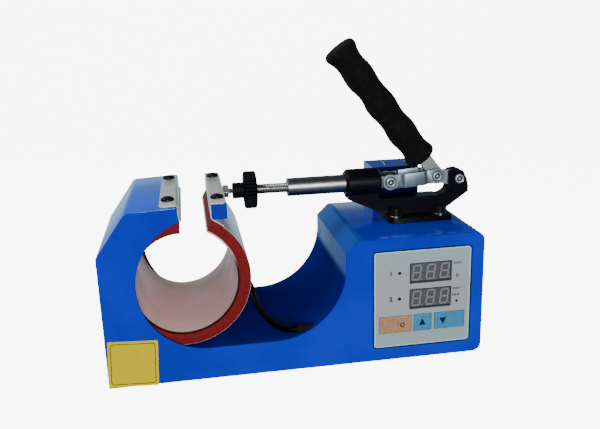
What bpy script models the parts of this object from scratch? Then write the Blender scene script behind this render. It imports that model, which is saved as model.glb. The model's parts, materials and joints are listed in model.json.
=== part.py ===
# Mug heat press: a sheet steel housing with a C shaped heater, closed by a toggle clamp.
# Lengths are in metres. Pieces are laid out from the housing's lower left front corner,
# x to the right, y to the back, z up, and an empty carries them to the model's origin.
import bpy
import bmesh
import math
from mathutils import Matrix, Vector

# Driving sizes of the housing
gap = 0.0003
sheet = 0.0015
housing_length = 0.3203
housing_depth = 0.1312
box_top = 0.1095
floor_height = 0.0275
tower_wall_height = 0.1116
tower_shoulder_x = 0.0251
tower_shoulder_z = 0.1465
tower_tip_x = 0.0647
tower_tip_z = 0.1483
mouth_radius = 0.0563
mouth_x = 0.0847
mouth_start_angle = 109.2
trough_radius = 0.0610
trough_x = 0.1390
trough_wall_top = 0.0989
trough_chamfer = 0.0113
seam_lip = 0.0040
top_corner_radius = 0.0070
bottom_corner_radius = 0.0080
foot_radius = 0.0080
foot_height = 0.0030
foot_inset = 0.0140
foot_end_share = 0.88

# Driving sizes of the heater
heater_x = 0.0654
heater_z = 0.0861
heater_outer_radius = 0.0558
heater_front = 0.0055
heater_rear_clearance = 0.0052
strap_thickness = 0.0009
liner_thickness = 0.0022
pad_thickness = 0.0071
left_shrink = 0.00265
left_squeeze = 0.0030
flex_angle = -35.0
right_end_angle = 61.0
left_end_angle = 89.0
pad_split = 0.0010

# Driving sizes of the clamp
rod_rise = 0.0345
rod_height = box_top + rod_rise
clamp_width_place = 0.0656
barrel_start = 0.2136
barrel_end = 0.2456
barrel_radius = 0.0127
plunger_radius = 0.0081
plunger_start = 0.1616
plunger_tail = 0.0080
plunger_flat = 0.0062
plunger_pin_x = 0.2545
link_pin_x = 0.2977
link_pin_rise = 0.0032
link_pin_z = rod_height + link_pin_rise
pivot_x = 0.3200
pivot_drop = 0.0011
pivot_z = rod_height - pivot_drop
rivet_radius = 0.0030
rivet_head_radius = 0.0043
rivet_head_height = 0.0012
rivet_head_shares = ((0, 0, 0.4), (0.55, 0, 0.4), (0.8, 0, 1), (0, 0.9, 0.85), (0, 1, 0))
flange_start = 0.2495
flange_end = 0.3085
flange_half_width = 0.0240
flange_thickness = 0.0045
bolt_spacing_x = 0.0413
bolt_spacing_y = 0.0318
deck_rise = 0.0200
deck_height = box_top + deck_rise
deck_half_width = 0.0085
lug_half_width = 0.0062
slot_half_width = 0.0030
lug_reach = 0.0087
arm_half_thickness = 0.0027
arm_half_width = 0.0060
grip_angle = 127.0
grip_start = 0.0202
grip_length = 0.1258
grip_radius = 0.0127

# Driving sizes of the control side
trough_wall_x = trough_x + trough_radius
chamfer_end_x = trough_wall_x + trough_chamfer
control_length = housing_length - chamfer_end_x
panel_margin = 0.0120
panel_width = control_length - 2 * panel_margin
panel_height = 0.0860
panel_x = chamfer_end_x + control_length / 2
panel_z = 0.0553
panel_thickness = 0.0020
panel_stand = 0.0004
panel_gap = 0.0007
panel_corner = 0.0025
key_stand = 0.0009
rocker_stand = 0.0035

# Where the model's origin lies on the housing
right_reach = pivot_x + lug_reach
origin_x = right_reach / 2
origin_y = (housing_depth + rocker_stand - key_stand) / 2

blue_paint = (0.005, 0.078, 0.50)
dark_blue = (0.004, 0.050, 0.36)
steel = (0.62, 0.62, 0.60)
zinc = (0.50, 0.54, 0.57)
black = (0.012, 0.012, 0.013)


def clear_scene():
    for item in list(bpy.data.objects):
        bpy.data.objects.remove(item, do_unlink=True)


clear_scene()
parts = bpy.data.collections.new("mug_heat_press")
bpy.context.scene.collection.children.link(parts)
frame = bpy.data.objects.new("press_frame", None)
frame.location = (-origin_x, -origin_y, foot_height)
parts.objects.link(frame)


# Pieces are placed by these helpers

def finish(item, name, colour, roughness, metallic, parent=None):
    material = bpy.data.materials.new(name)
    material.use_nodes = True
    shader = material.node_tree.nodes["Principled BSDF"]
    shader.inputs["Base Color"].default_value = (*colour, 1)
    shader.inputs["Roughness"].default_value = roughness
    shader.inputs["Metallic"].default_value = metallic
    item.data.materials.append(material)
    item.name = name
    item.data.name = name
    item.parent = parent or frame
    return item


def mesh_object(mesh, location=(0, 0, 0), rotation=(0, 0, 0)):
    item = bpy.data.objects.new("piece", mesh)
    parts.objects.link(item)
    item.location = location
    item.rotation_euler = rotation
    return item


def apply_place(item):
    """Moves the object's place into its mesh, so that its origin can be set anew."""
    item.data.transform(item.matrix_basis)
    item.matrix_basis = Matrix.Identity(4)


def set_origin(item, place):
    item.data.transform(Matrix.Translation(-Vector(place)))
    item.location = place


def move_origin(item, place):
    apply_place(item)
    set_origin(item, place)


def outline_slab(loops, depth, centre, facing):
    """A flat outline with holes, extruded on both sides of its centre plane."""
    curve = bpy.data.curves.new("outline", "CURVE")
    curve.dimensions = "2D"
    curve.fill_mode = "BOTH"
    curve.extrude = depth / 2
    for loop in loops:
        spline = curve.splines.new("POLY")
        spline.points.add(len(loop) - 1)
        for point, (across, up) in zip(spline.points, loop):
            point.co = (across, up, 0, 1)
        spline.use_cyclic_u = True
    turns = {
        "front": (math.pi / 2, 0, 0),
        "side": (math.pi / 2, 0, math.pi / 2),
        "top": (0, 0, 0),
    }
    source = bpy.data.objects.new("outline", curve)
    parts.objects.link(source)
    bpy.context.view_layer.update()
    evaluated = source.evaluated_get(bpy.context.evaluated_depsgraph_get())
    mesh = bpy.data.meshes.new_from_object(evaluated)
    bpy.data.objects.remove(source, do_unlink=True)
    welded = bmesh.new()
    welded.from_mesh(mesh)
    bmesh.ops.remove_doubles(welded, verts=welded.verts, dist=gap / 100)
    bmesh.ops.recalc_face_normals(welded, faces=welded.faces)
    welded.to_mesh(mesh)
    welded.free()
    item = mesh_object(mesh, centre, turns[facing])
    apply_place(item)
    return item


def box(low, high):
    size = [high[i] - low[i] for i in range(3)]
    middle = [(high[i] + low[i]) / 2 for i in range(3)]
    cube = bmesh.new()
    bmesh.ops.create_cube(cube, size=1)
    bmesh.ops.scale(cube, vec=size, verts=cube.verts)
    mesh = bpy.data.meshes.new("box")
    cube.to_mesh(mesh)
    cube.free()
    item = mesh_object(mesh, middle)
    apply_place(item)
    return item


axis_turns = {
    "x": Matrix.Rotation(math.pi / 2, 4, "Y"),
    "y": Matrix.Rotation(-math.pi / 2, 4, "X"),
    "z": Matrix.Identity(4),
}


def cylinder(radius, start, end, axis, sides=32):
    """A cylinder along one axis, from its start point to its end coordinate on that axis."""
    index = "xyz".index(axis)
    length = end - start[index]
    rod = bmesh.new()
    bmesh.ops.create_cone(rod, cap_ends=True, segments=sides, radius1=radius,
                          radius2=radius, depth=length)
    mesh = bpy.data.meshes.new("cylinder")
    rod.to_mesh(mesh)
    rod.free()
    middle = list(start)
    middle[index] += length / 2
    item = mesh_object(mesh)
    mesh.transform(Matrix.Translation(middle) @ axis_turns[axis])
    mesh.shade_smooth()
    mesh.set_sharp_from_angle(angle=math.radians(40))
    return item


def turned(profile, steps, closed=False):
    """A profile of (radius, height) points turned about the z axis, run down its outer side."""
    mesh = bpy.data.meshes.new("turned")
    edges = [(i, i + 1) for i in range(len(profile) - 1)]
    if closed:
        edges.append((len(profile) - 1, 0))
    mesh.from_pydata([(radius, 0, height) for radius, height in profile], edges, [])
    item = mesh_object(mesh)
    screw = item.modifiers.new("turn", "SCREW")
    screw.steps = steps
    screw.render_steps = steps
    screw.use_merge_vertices = True
    screw.merge_threshold = gap / 100
    bake(item)
    item.data.shade_smooth()
    item.data.set_sharp_from_angle(angle=math.radians(40))
    return item


def bake(item):
    """Turns the modifiers' result into the object's own mesh."""
    bpy.context.view_layer.update()
    evaluated = item.evaluated_get(bpy.context.evaluated_depsgraph_get())
    mesh = bpy.data.meshes.new_from_object(evaluated)
    item.modifiers.clear()
    item.data = mesh


def combine(item, others, operation):
    """Joins, cuts or intersects an object with others, which are used up."""
    for other in others:
        change = item.modifiers.new(operation.lower(), "BOOLEAN")
        change.operation = operation
        change.solver = "EXACT"
        change.object = other
    bake(item)
    for other in others:
        bpy.data.objects.remove(other, do_unlink=True)
    return item


def cut(item, *others):
    return combine(item, others, "DIFFERENCE")


def join(item, *others):
    return combine(item, others, "UNION")


def arc(centre, radius, start, end, steps):
    """Points on a circle between two angles in degrees, both ends included."""
    points = []
    for i in range(steps + 1):
        angle = math.radians(start + (end - start) * i / steps)
        points.append((centre[0] + radius * math.cos(angle), centre[1] + radius * math.sin(angle)))
    return points


def rounded_rectangle(left, right, low, high, radius, steps=4):
    corners = [
        ((left + radius, low + radius), 180),
        ((right - radius, low + radius), 270),
        ((right - radius, high - radius), 0),
        ((left + radius, high - radius), 90),
    ]
    points = []
    for centre, start in corners:
        points += arc(centre, radius, start, start + 90, steps)
    return points


def offset_path(path, distance):
    """The open path moved sideways to its left by a distance, mitred at its corners."""
    moved = []
    for i, point in enumerate(path):
        before = Vector(path[max(i - 1, 0)])
        after = Vector(path[min(i + 1, len(path) - 1)])
        here = Vector(point)
        sides = []
        if (here - before).length > 0:
            sides.append((here - before).normalized())
        if (after - here).length > 0:
            sides.append((after - here).normalized())
        normals = [Vector((-side.y, side.x)) for side in sides]
        middle = sum(normals, Vector((0, 0))).normalized()
        reach = distance / max(middle.dot(normals[0]), 0.5)
        moved.append(tuple(here + middle * reach))
    return moved


def bent_sheet(path, thickness, start_y, end_y):
    """A sheet bent along a path in the x z plane, its thickness to the path's left."""
    loop = list(path) + offset_path(path, thickness)[::-1]
    return outline_slab([loop], end_y - start_y, (0, (start_y + end_y) / 2, 0), "front")


# Outlines of the housing

mouth_centre = (mouth_x, floor_height + mouth_radius)
trough_centre = (trough_x, floor_height + trough_radius)
tip_point = arc(mouth_centre, mouth_radius, mouth_start_angle, mouth_start_angle, 1)[0]


def trough_path(steps):
    """From the flat floor's right end, up the trough's wall to the top of the box."""
    points = arc(trough_centre, trough_radius, 270, 360, steps)
    points.append((trough_wall_x, trough_wall_top))
    points.append((chamfer_end_x, box_top))
    return points


def cover_path():
    """The box's top, rounded end and side, from the trough's chamfer down to the bottom."""
    top_centre = (housing_length - top_corner_radius, box_top - top_corner_radius)
    low_centre = (housing_length - bottom_corner_radius, bottom_corner_radius)
    points = arc(top_centre, top_corner_radius, 90, 0, 5)
    points += arc(low_centre, bottom_corner_radius, 0, -90, 5)
    return points


def housing_outline():
    points = [(0, 0), (0, tower_wall_height), (tower_shoulder_x, tower_shoulder_z)]
    points.append((tower_tip_x, tower_tip_z))
    points += arc(mouth_centre, mouth_radius, mouth_start_angle, 270, 22)
    points += trough_path(14)
    points += cover_path()
    return points


# Sheet metal of the housing

panel_left = panel_x - panel_width / 2
panel_right = panel_x + panel_width / 2
panel_low = panel_z - panel_height / 2
panel_high = panel_z + panel_height / 2
inlet_x_share = 0.53853
inlet_width_share = 0.24771
inlet_x = chamfer_end_x + control_length * inlet_x_share
inlet_z = 0.0450
inlet_width = control_length * inlet_width_share
inlet_height = 0.0200
switch_x_share = 0.15321
switch_width_share = 0.17431
switch_x = chamfer_end_x + control_length * switch_x_share
switch_width = control_length * switch_width_share
switch_height = 0.0130


def make_front_plate():
    hole = rounded_rectangle(panel_left - panel_gap, panel_right + panel_gap,
                             panel_low - panel_gap, panel_high + panel_gap,
                             panel_corner + panel_gap)
    plate = outline_slab([housing_outline(), hole], sheet, (0, sheet / 2, 0), "front")
    finish(plate, "front_plate", blue_paint, 0.15, 0.0)


def make_rear_plate():
    inlet_hole = rounded_rectangle(inlet_x - inlet_width / 2 - gap, inlet_x + inlet_width / 2 + gap,
                                   inlet_z - inlet_height / 2 - gap, inlet_z + inlet_height / 2 + gap,
                                   gap, 2)
    switch_hole = rounded_rectangle(switch_x - switch_width / 2 - gap, switch_x + switch_width / 2 + gap,
                                    inlet_z - switch_height / 2 - gap, inlet_z + switch_height / 2 + gap,
                                    gap, 2)
    plate = outline_slab([housing_outline(), inlet_hole, switch_hole], sheet,
                         (0, housing_depth - sheet / 2, 0), "front")
    finish(plate, "rear_plate", blue_paint, 0.15, 0.0)


inner_front = sheet + gap
inner_rear = housing_depth - sheet - gap


def make_tower_cover():
    path = [tip_point, (tower_tip_x, tower_tip_z), (tower_shoulder_x, tower_shoulder_z),
            (0, tower_wall_height), (0, 0)]
    cover = bent_sheet(path, sheet, inner_front, inner_rear)
    holes = [cylinder(flange_shaft_radius + gap, (x, y, tower_tip_z - 3 * sheet), tower_tip_z + sheet, "z", 12)
             for x, y in flange_screw_places("left")]
    cut(cover, *holes)
    finish(cover, "tower_cover", blue_paint, 0.15, 0.0)


grommet_radius = 0.0041
grommet_x = 0.1575
grommet_end = 0.1755
lead_radius = 0.0030
lead_end_y = 0.0082
lead_end_rise = 0.0028
lead_lying = floor_height + gap + lead_radius
lead_end_z = lead_lying + lead_end_rise


def make_trough_sheet():
    lip = (chamfer_end_x + seam_lip, box_top)
    path = [lip] + trough_path(14)[::-1] + [(sheet + gap, floor_height)]
    trough = bent_sheet(path, sheet, inner_front, inner_rear)
    hole = cylinder(grommet_radius + gap, (grommet_x - gap, lead_end_y, lead_end_z),
                    relay_x, "x", 16)
    cut(trough, hole)
    finish(trough, "trough_sheet", dark_blue, 0.2, 0.0)


bolt_centre_inset = 0.0280
bolt_x = flange_start + bolt_centre_inset - bolt_spacing_x / 2
bolt_places = [
    (bolt_x + column * bolt_spacing_x, clamp_width_place + (row - 1 / 2) * bolt_spacing_y)
    for row in range(2) for column in range(2)
]
bolt_radius = 0.0030
bolt_clearance = 0.0004


def bolt_holes(low, high):
    return [cylinder(bolt_radius + bolt_clearance, (x, y, low), high, "z", 16)
            for x, y in bolt_places]


def make_control_cover():
    start = (chamfer_end_x + seam_lip + gap, box_top)
    path = ([start] + cover_path())[::-1]
    cover = bent_sheet(path, sheet, inner_front, inner_rear)
    holes = bolt_holes(box_top - 2 * sheet, box_top + sheet)
    cut(cover, *holes)
    finish(cover, "control_cover", blue_paint, 0.15, 0.0)


def make_base_plate():
    right = housing_length - bottom_corner_radius - gap
    plate = box((sheet + gap, inner_front, 0), (right, inner_rear, sheet))
    finish(plate, "base_plate", blue_paint, 0.3, 0.0)


def make_feet():
    for side, x in (("left", foot_inset), ("right", housing_length - foot_inset)):
        for end, y in (("front", foot_inset), ("rear", housing_depth - foot_inset)):
            profile = [(0, -gap), (foot_radius, -gap), (foot_radius * foot_end_share, -foot_height),
                       (0, -foot_height)]
            foot = turned(profile, 20)
            foot.data.transform(Matrix.Translation((x, y, 0)))
            finish(foot, f"foot_{end}_{side}", black, 0.8, 0.0)


sticker_size = 0.0401
sticker_x = 0.0212
sticker_z = 0.0205
sticker_turn = -3.1
sticker_thickness = 0.0003
sticker_corner = 0.0020


def make_sticker():
    half = sticker_size / 2
    outline = rounded_rectangle(-half, half, -half, half, sticker_corner, 2)
    sticker = outline_slab([outline], sticker_thickness, (0, 0, 0), "front")
    turn = Matrix.Rotation(math.radians(-sticker_turn), 4, "Y")
    place = Matrix.Translation((sticker_x, -gap - sticker_thickness / 2, sticker_z))
    sticker.data.transform(place @ turn)
    finish(sticker, "tower_sticker", (0.50, 0.45, 0.012), 0.45, 0.0)


# Control panel

display_width_share = 0.43059
display_left_share = 0.36706
display_width = panel_width * display_width_share
display_left = panel_width * display_left_share
display_height = 0.0178
display_upper_top = 0.0117
display_lower_top = 0.0349
display_recess = 0.0003
board_y = 0.0080
board_thickness = 0.0016
board_margin = 0.0030
key_low = 0.0129
key_height = 0.0150
key_thickness = 0.0020
key_span_shares = {
    "set_key": (0.05294, 0.38706),
    "up_key": (0.41294, 0.59765),
    "down_key": (0.62824, 0.94471),
}
key_spans = {
    name: (panel_width * start, panel_width * end) for name, (start, end) in key_span_shares.items()
}
narrowest_key = min([end - start for start, end in key_spans.values()] + [key_height])
key_dome_share = 0.34667
key_dome_radius = narrowest_key * key_dome_share
key_dome_height = 0.0005
key_dome_shares = {
    "set_key": 0.29882,
    "up_key": 0.50588,
    "down_key": 0.72000,
}
key_colours = {
    "set_key": (0.63, 0.34, 0.22),
    "up_key": (0.20, 0.48, 0.66),
    "down_key": (0.20, 0.48, 0.66),
}


def display_loop(top, clearance):
    left = panel_left + display_left
    high = panel_high - top
    return rounded_rectangle(left - clearance, left + display_width + clearance,
                             high - display_height - clearance, high + clearance, sheet / 2, 2)


def key_loop(name, clearance):
    start, end = key_spans[name]
    return rounded_rectangle(panel_left + start - clearance, panel_left + end + clearance,
                             panel_low + key_low - clearance,
                             panel_low + key_low + key_height + clearance, sheet / 2, 2)


def make_panel():
    edge = rounded_rectangle(panel_left, panel_right, panel_low, panel_high, panel_corner)
    loops = [edge, display_loop(display_upper_top, gap), display_loop(display_lower_top, gap)]
    loops += [key_loop(name, gap) for name in key_spans]
    middle = panel_thickness / 2 - panel_stand
    panel = outline_slab(loops, panel_thickness, (0, middle, 0), "front")
    finish(panel, "control_panel", (0.36, 0.44, 0.46), 0.4, 0.0)


def make_displays():
    depth = board_y - gap - display_recess
    middle = display_recess + depth / 2
    for name, top in (("upper_display", display_upper_top), ("lower_display", display_lower_top)):
        display = outline_slab([display_loop(top, 0)], depth, (0, middle, 0), "front")
        finish(display, name, (0.06, 0.07, 0.08), 0.25, 0.0)


def make_keys():
    front = -key_stand + key_dome_height
    for name in key_spans:
        pad = outline_slab([key_loop(name, 0)], key_thickness, (0, front + key_thickness / 2, 0), "front")
        dome_centre = (panel_left + panel_width * key_dome_shares[name], -key_stand, panel_low + key_low + key_height / 2)
        dome = cylinder(key_dome_radius, dome_centre, front + key_thickness / 2, "y", 24)
        join(pad, dome)
        set_origin(pad, (dome_centre[0], front, dome_centre[2]))
        finish(pad, name, key_colours[name], 0.35, 0.0)


def make_controller_board():
    low = (panel_left - board_margin, board_y, panel_low - board_margin)
    high = (panel_right + board_margin, board_y + board_thickness, panel_high + board_margin)
    board = box(low, high)
    finish(board, "controller_board", (0.02, 0.16, 0.05), 0.5, 0.0)


relay_size = (0.0400, 0.0450, 0.0250)
relay_x = 0.1780
relay_y = 0.0040


def make_relay():
    low = (relay_x, relay_y, sheet + gap)
    high = tuple(low[i] + relay_size[i] for i in range(3))
    relay = box(low, high)
    finish(relay, "power_relay", (0.75, 0.75, 0.72), 0.5, 0.0)


inlet_flange = 0.0025
inlet_flange_depth = 0.0024
inlet_depth = 0.0180
inlet_socket_depth = 0.0150
inlet_wall = 0.0020
pin_height = 0.0100
pin_width = 0.0040
pin_thickness = 0.0020
pin_spacing_share = 0.25926
pin_spacing = inlet_width * pin_spacing_share
pin_rise = 0.0030


def make_mains_inlet():
    """A three pin appliance inlet: a body through the rear plate with a flange outside."""
    back = housing_depth + gap
    body = box((inlet_x - inlet_width / 2, housing_depth - inlet_depth, inlet_z - inlet_height / 2),
               (inlet_x + inlet_width / 2, back + inlet_flange_depth / 2, inlet_z + inlet_height / 2))
    rim = box((inlet_x - inlet_width / 2 - inlet_flange, back, inlet_z - inlet_height / 2 - inlet_flange),
              (inlet_x + inlet_width / 2 + inlet_flange, back + inlet_flange_depth,
               inlet_z + inlet_height / 2 + inlet_flange))
    join(body, rim)
    socket = box((inlet_x - inlet_width / 2 + inlet_wall, back + inlet_flange_depth - inlet_socket_depth,
                  inlet_z - inlet_height / 2 + inlet_wall),
                 (inlet_x + inlet_width / 2 - inlet_wall, back + inlet_flange_depth + sheet,
                  inlet_z + inlet_height / 2 - inlet_wall))
    cut(body, socket)
    floor_y = back + inlet_flange_depth - inlet_socket_depth
    pins = []
    for column, rise in ((-1, -pin_rise / 2), (0, pin_rise / 2), (1, -pin_rise / 2)):
        x = inlet_x + column * pin_spacing
        pins.append(box((x - pin_thickness / 2, floor_y - inlet_wall / 2, inlet_z + rise - pin_width / 2),
                        (x + pin_thickness / 2, floor_y + pin_height, inlet_z + rise + pin_width / 2)))
    join(body, *pins)
    finish(body, "mains_inlet", black, 0.4, 0.0)


switch_flange = 0.0020
switch_flange_depth = 0.0018
switch_depth = 0.0160
switch_wall = 0.0018
rocker_drop = 0.0030
rocker_gap = 0.0010
rocker_shares = ((-1, 0, 0), (0, 0, -1), (1, 0, 0), (0.92, 1, 0), (0, 0.72, 0), (-0.92, 0.60, 0))


def make_switch():
    outside = housing_depth + gap
    low_z = inlet_z - switch_height / 2
    high_z = inlet_z + switch_height / 2
    body = box((switch_x - switch_width / 2, housing_depth - switch_depth, low_z),
               (switch_x + switch_width / 2, outside + switch_flange_depth / 2, high_z))
    rim = box((switch_x - switch_width / 2 - switch_flange, outside, low_z - switch_flange),
              (switch_x + switch_width / 2 + switch_flange, outside + switch_flange_depth,
               high_z + switch_flange))
    join(body, rim)
    recess = box((switch_x - switch_width / 2 + switch_wall, housing_depth - switch_depth / 2,
                  low_z + switch_wall),
                 (switch_x + switch_width / 2 - switch_wall, outside + sheet + switch_flange_depth,
                  high_z - switch_wall))
    cut(body, recess)
    finish(body, "switch_housing", black, 0.4, 0.0)

    half = switch_width / 2 - switch_wall - rocker_gap
    pivot_y = housing_depth - rocker_drop
    crown = housing_depth + rocker_stand - pivot_y
    rocker_loop = [(half * across, crown * out + rocker_drop * back) for across, out, back in rocker_shares]
    rocker = outline_slab([rocker_loop], switch_height - 2 * switch_wall - 2 * gap,
                          (switch_x, pivot_y, inlet_z), "top")
    set_origin(rocker, (switch_x, pivot_y, inlet_z))
    finish(rocker, "power_rocker", (0.35, 0.01, 0.01), 0.35, 0.0)


rear_box_end_shares = (0.33945, 0.74771)
rear_box_left, rear_box_right = (chamfer_end_x + control_length * share for share in rear_box_end_shares)
rear_box_clearance = 0.0054
rear_box_front = clamp_width_place + flange_half_width + rear_box_clearance
rear_box_height = 0.0410
rear_box_top = box_top + rear_box_height
rear_box_wall = 0.0012
rear_screw_shares = (0.48165, 0.68532)
rear_screw_x = [chamfer_end_x + control_length * share for share in rear_screw_shares]
rear_screw_depth_share = 0.43646
rear_screw_y = rear_box_front + (housing_depth - rear_box_front) * rear_screw_depth_share
pan_head_radius = 0.0028
pan_head_height = 0.0017
pan_shaft_radius = 0.0013
pan_head_shares = ((0, 1), (0.55, 0.94), (0.90, 0.60), (1, 0))


def pan_screw(name, shaft):
    """A pan head screw pointing up, seated at its own origin, with its shaft below."""
    profile = [(pan_head_radius * out, pan_head_height * up) for out, up in pan_head_shares]
    profile += [(pan_shaft_radius, 0), (pan_shaft_radius, -shaft), (0, -shaft)]
    screw = turned(profile, 16)
    return finish(screw, name, steel, 0.3, 1.0)


def make_rear_box():
    shell = box((rear_box_left, rear_box_front, box_top + gap),
                (rear_box_right, housing_depth, rear_box_top))
    hollow = box((rear_box_left + rear_box_wall, rear_box_front + rear_box_wall, box_top - sheet),
                 (rear_box_right - rear_box_wall, housing_depth - rear_box_wall, rear_box_top - rear_box_wall))
    cut(shell, hollow)
    holes = [cylinder(pan_shaft_radius + gap, (x, rear_screw_y, rear_box_top - 2 * rear_box_wall),
                      rear_box_top + rear_box_wall, "z", 12) for x in rear_screw_x]
    cut(shell, *holes)
    finish(shell, "rear_box", blue_paint, 0.2, 0.0)
    for side, x in zip(("left", "right"), rear_screw_x):
        screw = pan_screw(f"rear_box_screw_{side}", 2 * rear_box_wall)
        screw.location = (x, rear_screw_y, rear_box_top + gap)


side_screw_inset = 0.0080
side_screw_height = 0.0143


def make_side_screws():
    for end, y in (("front", side_screw_inset), ("rear", housing_depth - side_screw_inset)):
        screw = pan_screw(f"side_screw_{end}", 0)
        screw.location = (housing_length + gap, y, side_screw_height)
        screw.rotation_euler = (0, math.pi / 2, 0)


# Heater: strap, sponge pad and liner, each in a fixed and a moving half

heater_centre = (heater_x, heater_z)
heater_rear = housing_depth - heater_rear_clearance
left_centre = (heater_x, heater_z - left_shrink)
hinge_point = arc(heater_centre, heater_outer_radius, flex_angle, flex_angle, 1)[0]


def left_arcs(depth, split):
    """The fixed half's path at a depth below the strap's outer face, from the split to its end."""
    radius = heater_outer_radius - depth
    start = flex_angle - math.degrees(split / heater_outer_radius)
    right = arc(heater_centre, radius, start, -90, 9)
    height = radius - left_shrink
    width_share = (height - left_squeeze) / height
    left = arc(left_centre, height, -90, left_end_angle - 360, 28)
    return right + [(heater_x + (x - heater_x) * width_share, z) for x, z in left[1:]]


def right_arcs(depth, split):
    radius = heater_outer_radius - depth
    start = flex_angle + math.degrees(split / heater_outer_radius)
    return arc(heater_centre, radius, right_end_angle, start, 16)


tower_slope_share = (tower_tip_z - tower_shoulder_z) / (tower_tip_x - tower_shoulder_x)
flange_width = 0.0132
right_flange_rise = 0.0050
right_flange_top = rod_height + right_flange_rise
right_flange_left = 0.0912
block_width = 0.0122
block_height = 0.0126
flange_screw_inset = 0.0180
flange_head_radius = 0.0054
flange_head_height = 0.0030
flange_shaft_radius = 0.0019
flange_shaft_length = 0.0060
flange_head_shares = ((0, 0.45), (0.38, 0.45), (0.40, 1), (0.72, 0.88), (1, 0.25), (1, 0))


def make_strap_left():
    top_left = tower_tip_x - flange_width
    root = (tip_point[0] + 2 * gap, left_centre[1] + heater_outer_radius - left_shrink)
    bend = (tower_tip_x + 2 * gap, tower_tip_z + gap)
    end = (top_left, tower_tip_z + gap - tower_slope_share * flange_width)
    path = left_arcs(0, gap / 2) + [root, bend, end]
    strap = bent_sheet(path, -strap_thickness, heater_front, heater_rear)
    holes = [cylinder(flange_shaft_radius + gap, (x, y, tower_tip_z - sheet), tower_tip_z + 4 * sheet, "z", 12)
             for x, y in flange_screw_places("left")]
    cut(strap, *holes)
    finish(strap, "heater_strap_left", steel, 0.3, 1.0)


def flange_screw_places(side):
    if side == "left":
        x = tower_tip_x - flange_width / 2
    else:
        x = right_flange_left + flange_width / 2
    return [(x, heater_front + flange_screw_inset), (x, heater_rear - flange_screw_inset)]


def make_strap_right():
    strap = bent_sheet(right_arcs(0, gap / 2), -strap_thickness, heater_front, heater_rear)
    finish(strap, "heater_strap_right", steel, 0.3, 1.0)
    set_origin(strap, (hinge_point[0], heater_front, hinge_point[1]))


pad_depth = strap_thickness + gap
liner_depth = pad_depth + pad_thickness + gap


def make_heater_lining():
    layers = (
        ("heater_pad", pad_depth, pad_thickness, (0.30, 0.012, 0.010)),
        ("heater_liner", liner_depth, liner_thickness, (0.62, 0.47, 0.45)),
    )
    for name, depth, thickness, colour in layers:
        left = bent_sheet(left_arcs(depth, pad_split / 2), -thickness, heater_front, heater_rear)
        finish(left, name + "_left", colour, 0.7, 0.0)
        right = bent_sheet(right_arcs(depth, pad_split / 2), -thickness, heater_front, heater_rear)
        finish(right, name + "_right", colour, 0.7, 0.0)
        set_origin(right, (hinge_point[0], heater_front, hinge_point[1]))


def flange_screw(name):
    """A button head screw with a socket, pointing up, seated at its own origin."""
    profile = [(flange_head_radius * out, flange_head_height * up) for out, up in flange_head_shares]
    profile += [(flange_shaft_radius, 0), (flange_shaft_radius, -flange_shaft_length),
                (0, -flange_shaft_length)]
    return finish(turned(profile, 20), name, black, 0.35, 0.5)


def make_flange_screws():
    drop = tower_slope_share * (flange_width / 2 - flange_head_radius)
    tops = {
        "left": tower_tip_z - drop + strap_thickness + 2 * gap,
        "right": right_flange_top + gap,
    }
    for side, top in tops.items():
        for end, (x, y) in zip(("front", "rear"), flange_screw_places(side)):
            screw = flange_screw(f"flange_screw_{side}_{end}")
            screw.location = (x, y, top)
            if side == "right":
                move_origin(screw, block_hinge)


# Push block on the heater's moving end, with the stud that the clamp holds

stud_radius = 0.0023
stud_start = 0.0980
stud_end = 0.1175
nut_start = 0.1049
nut_thickness = 0.0048
nut_across_flats = 0.0100

right_end_point = arc(heater_centre, heater_outer_radius, right_end_angle, right_end_angle, 1)[0]
block_hinge = (right_flange_left, clamp_width_place, right_end_point[1] + gap)
block_left = right_flange_left + strap_thickness + gap
block_top = right_flange_top - strap_thickness - gap
stud_clearance = 0.0003


def make_strap_flange():
    """The strap's upper end, bent up beside the block and folded over its top."""
    corner = (right_flange_left, right_flange_top)
    path = [(right_flange_left + flange_width, right_flange_top), corner, (right_flange_left, block_hinge[2])]
    flange = bent_sheet(path, strap_thickness, heater_front, heater_rear)
    holes = [cylinder(flange_shaft_radius + gap, (x, y, block_top), right_flange_top + sheet, "z", 12)
             for x, y in flange_screw_places("right")]
    cut(flange, *holes)
    finish(flange, "strap_flange", steel, 0.3, 1.0)
    set_origin(flange, block_hinge)


def make_push_block():
    low = (block_left, heater_front + sheet, block_top - block_height)
    high = (block_left + block_width, heater_rear - sheet, block_top)
    block = box(low, high)
    holes = [cylinder(flange_shaft_radius + gap, (x, y, block_top - flange_shaft_length),
                      block_top + sheet, "z", 12)
             for x, y in flange_screw_places("right")]
    holes.append(cylinder(stud_radius + stud_clearance, (stud_start - gap, clamp_width_place, rod_height),
                          block_left + block_width + sheet, "x", 20))
    cut(block, *holes)
    set_origin(block, block_hinge)
    finish(block, "push_block", blue_paint, 0.15, 0.0)


def make_stud_and_nut():
    stud = cylinder(stud_radius, (stud_start, clamp_width_place, rod_height), stud_end, "x", 20)
    set_origin(stud, block_hinge)
    finish(stud, "push_stud", steel, 0.3, 1.0)
    corner = nut_across_flats / 2 / math.cos(math.radians(30))
    hexagon = arc((clamp_width_place, rod_height), corner, 0, 300, 5)
    hole = arc((clamp_width_place, rod_height), stud_radius + stud_clearance, 0, 342, 19)
    nut = outline_slab([hexagon, hole], nut_thickness, (nut_start + nut_thickness / 2, 0, 0), "side")
    set_origin(nut, block_hinge)
    finish(nut, "stud_nut", steel, 0.3, 1.0)


# Heater lead, held by the strap at one end and by the housing at the other

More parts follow.
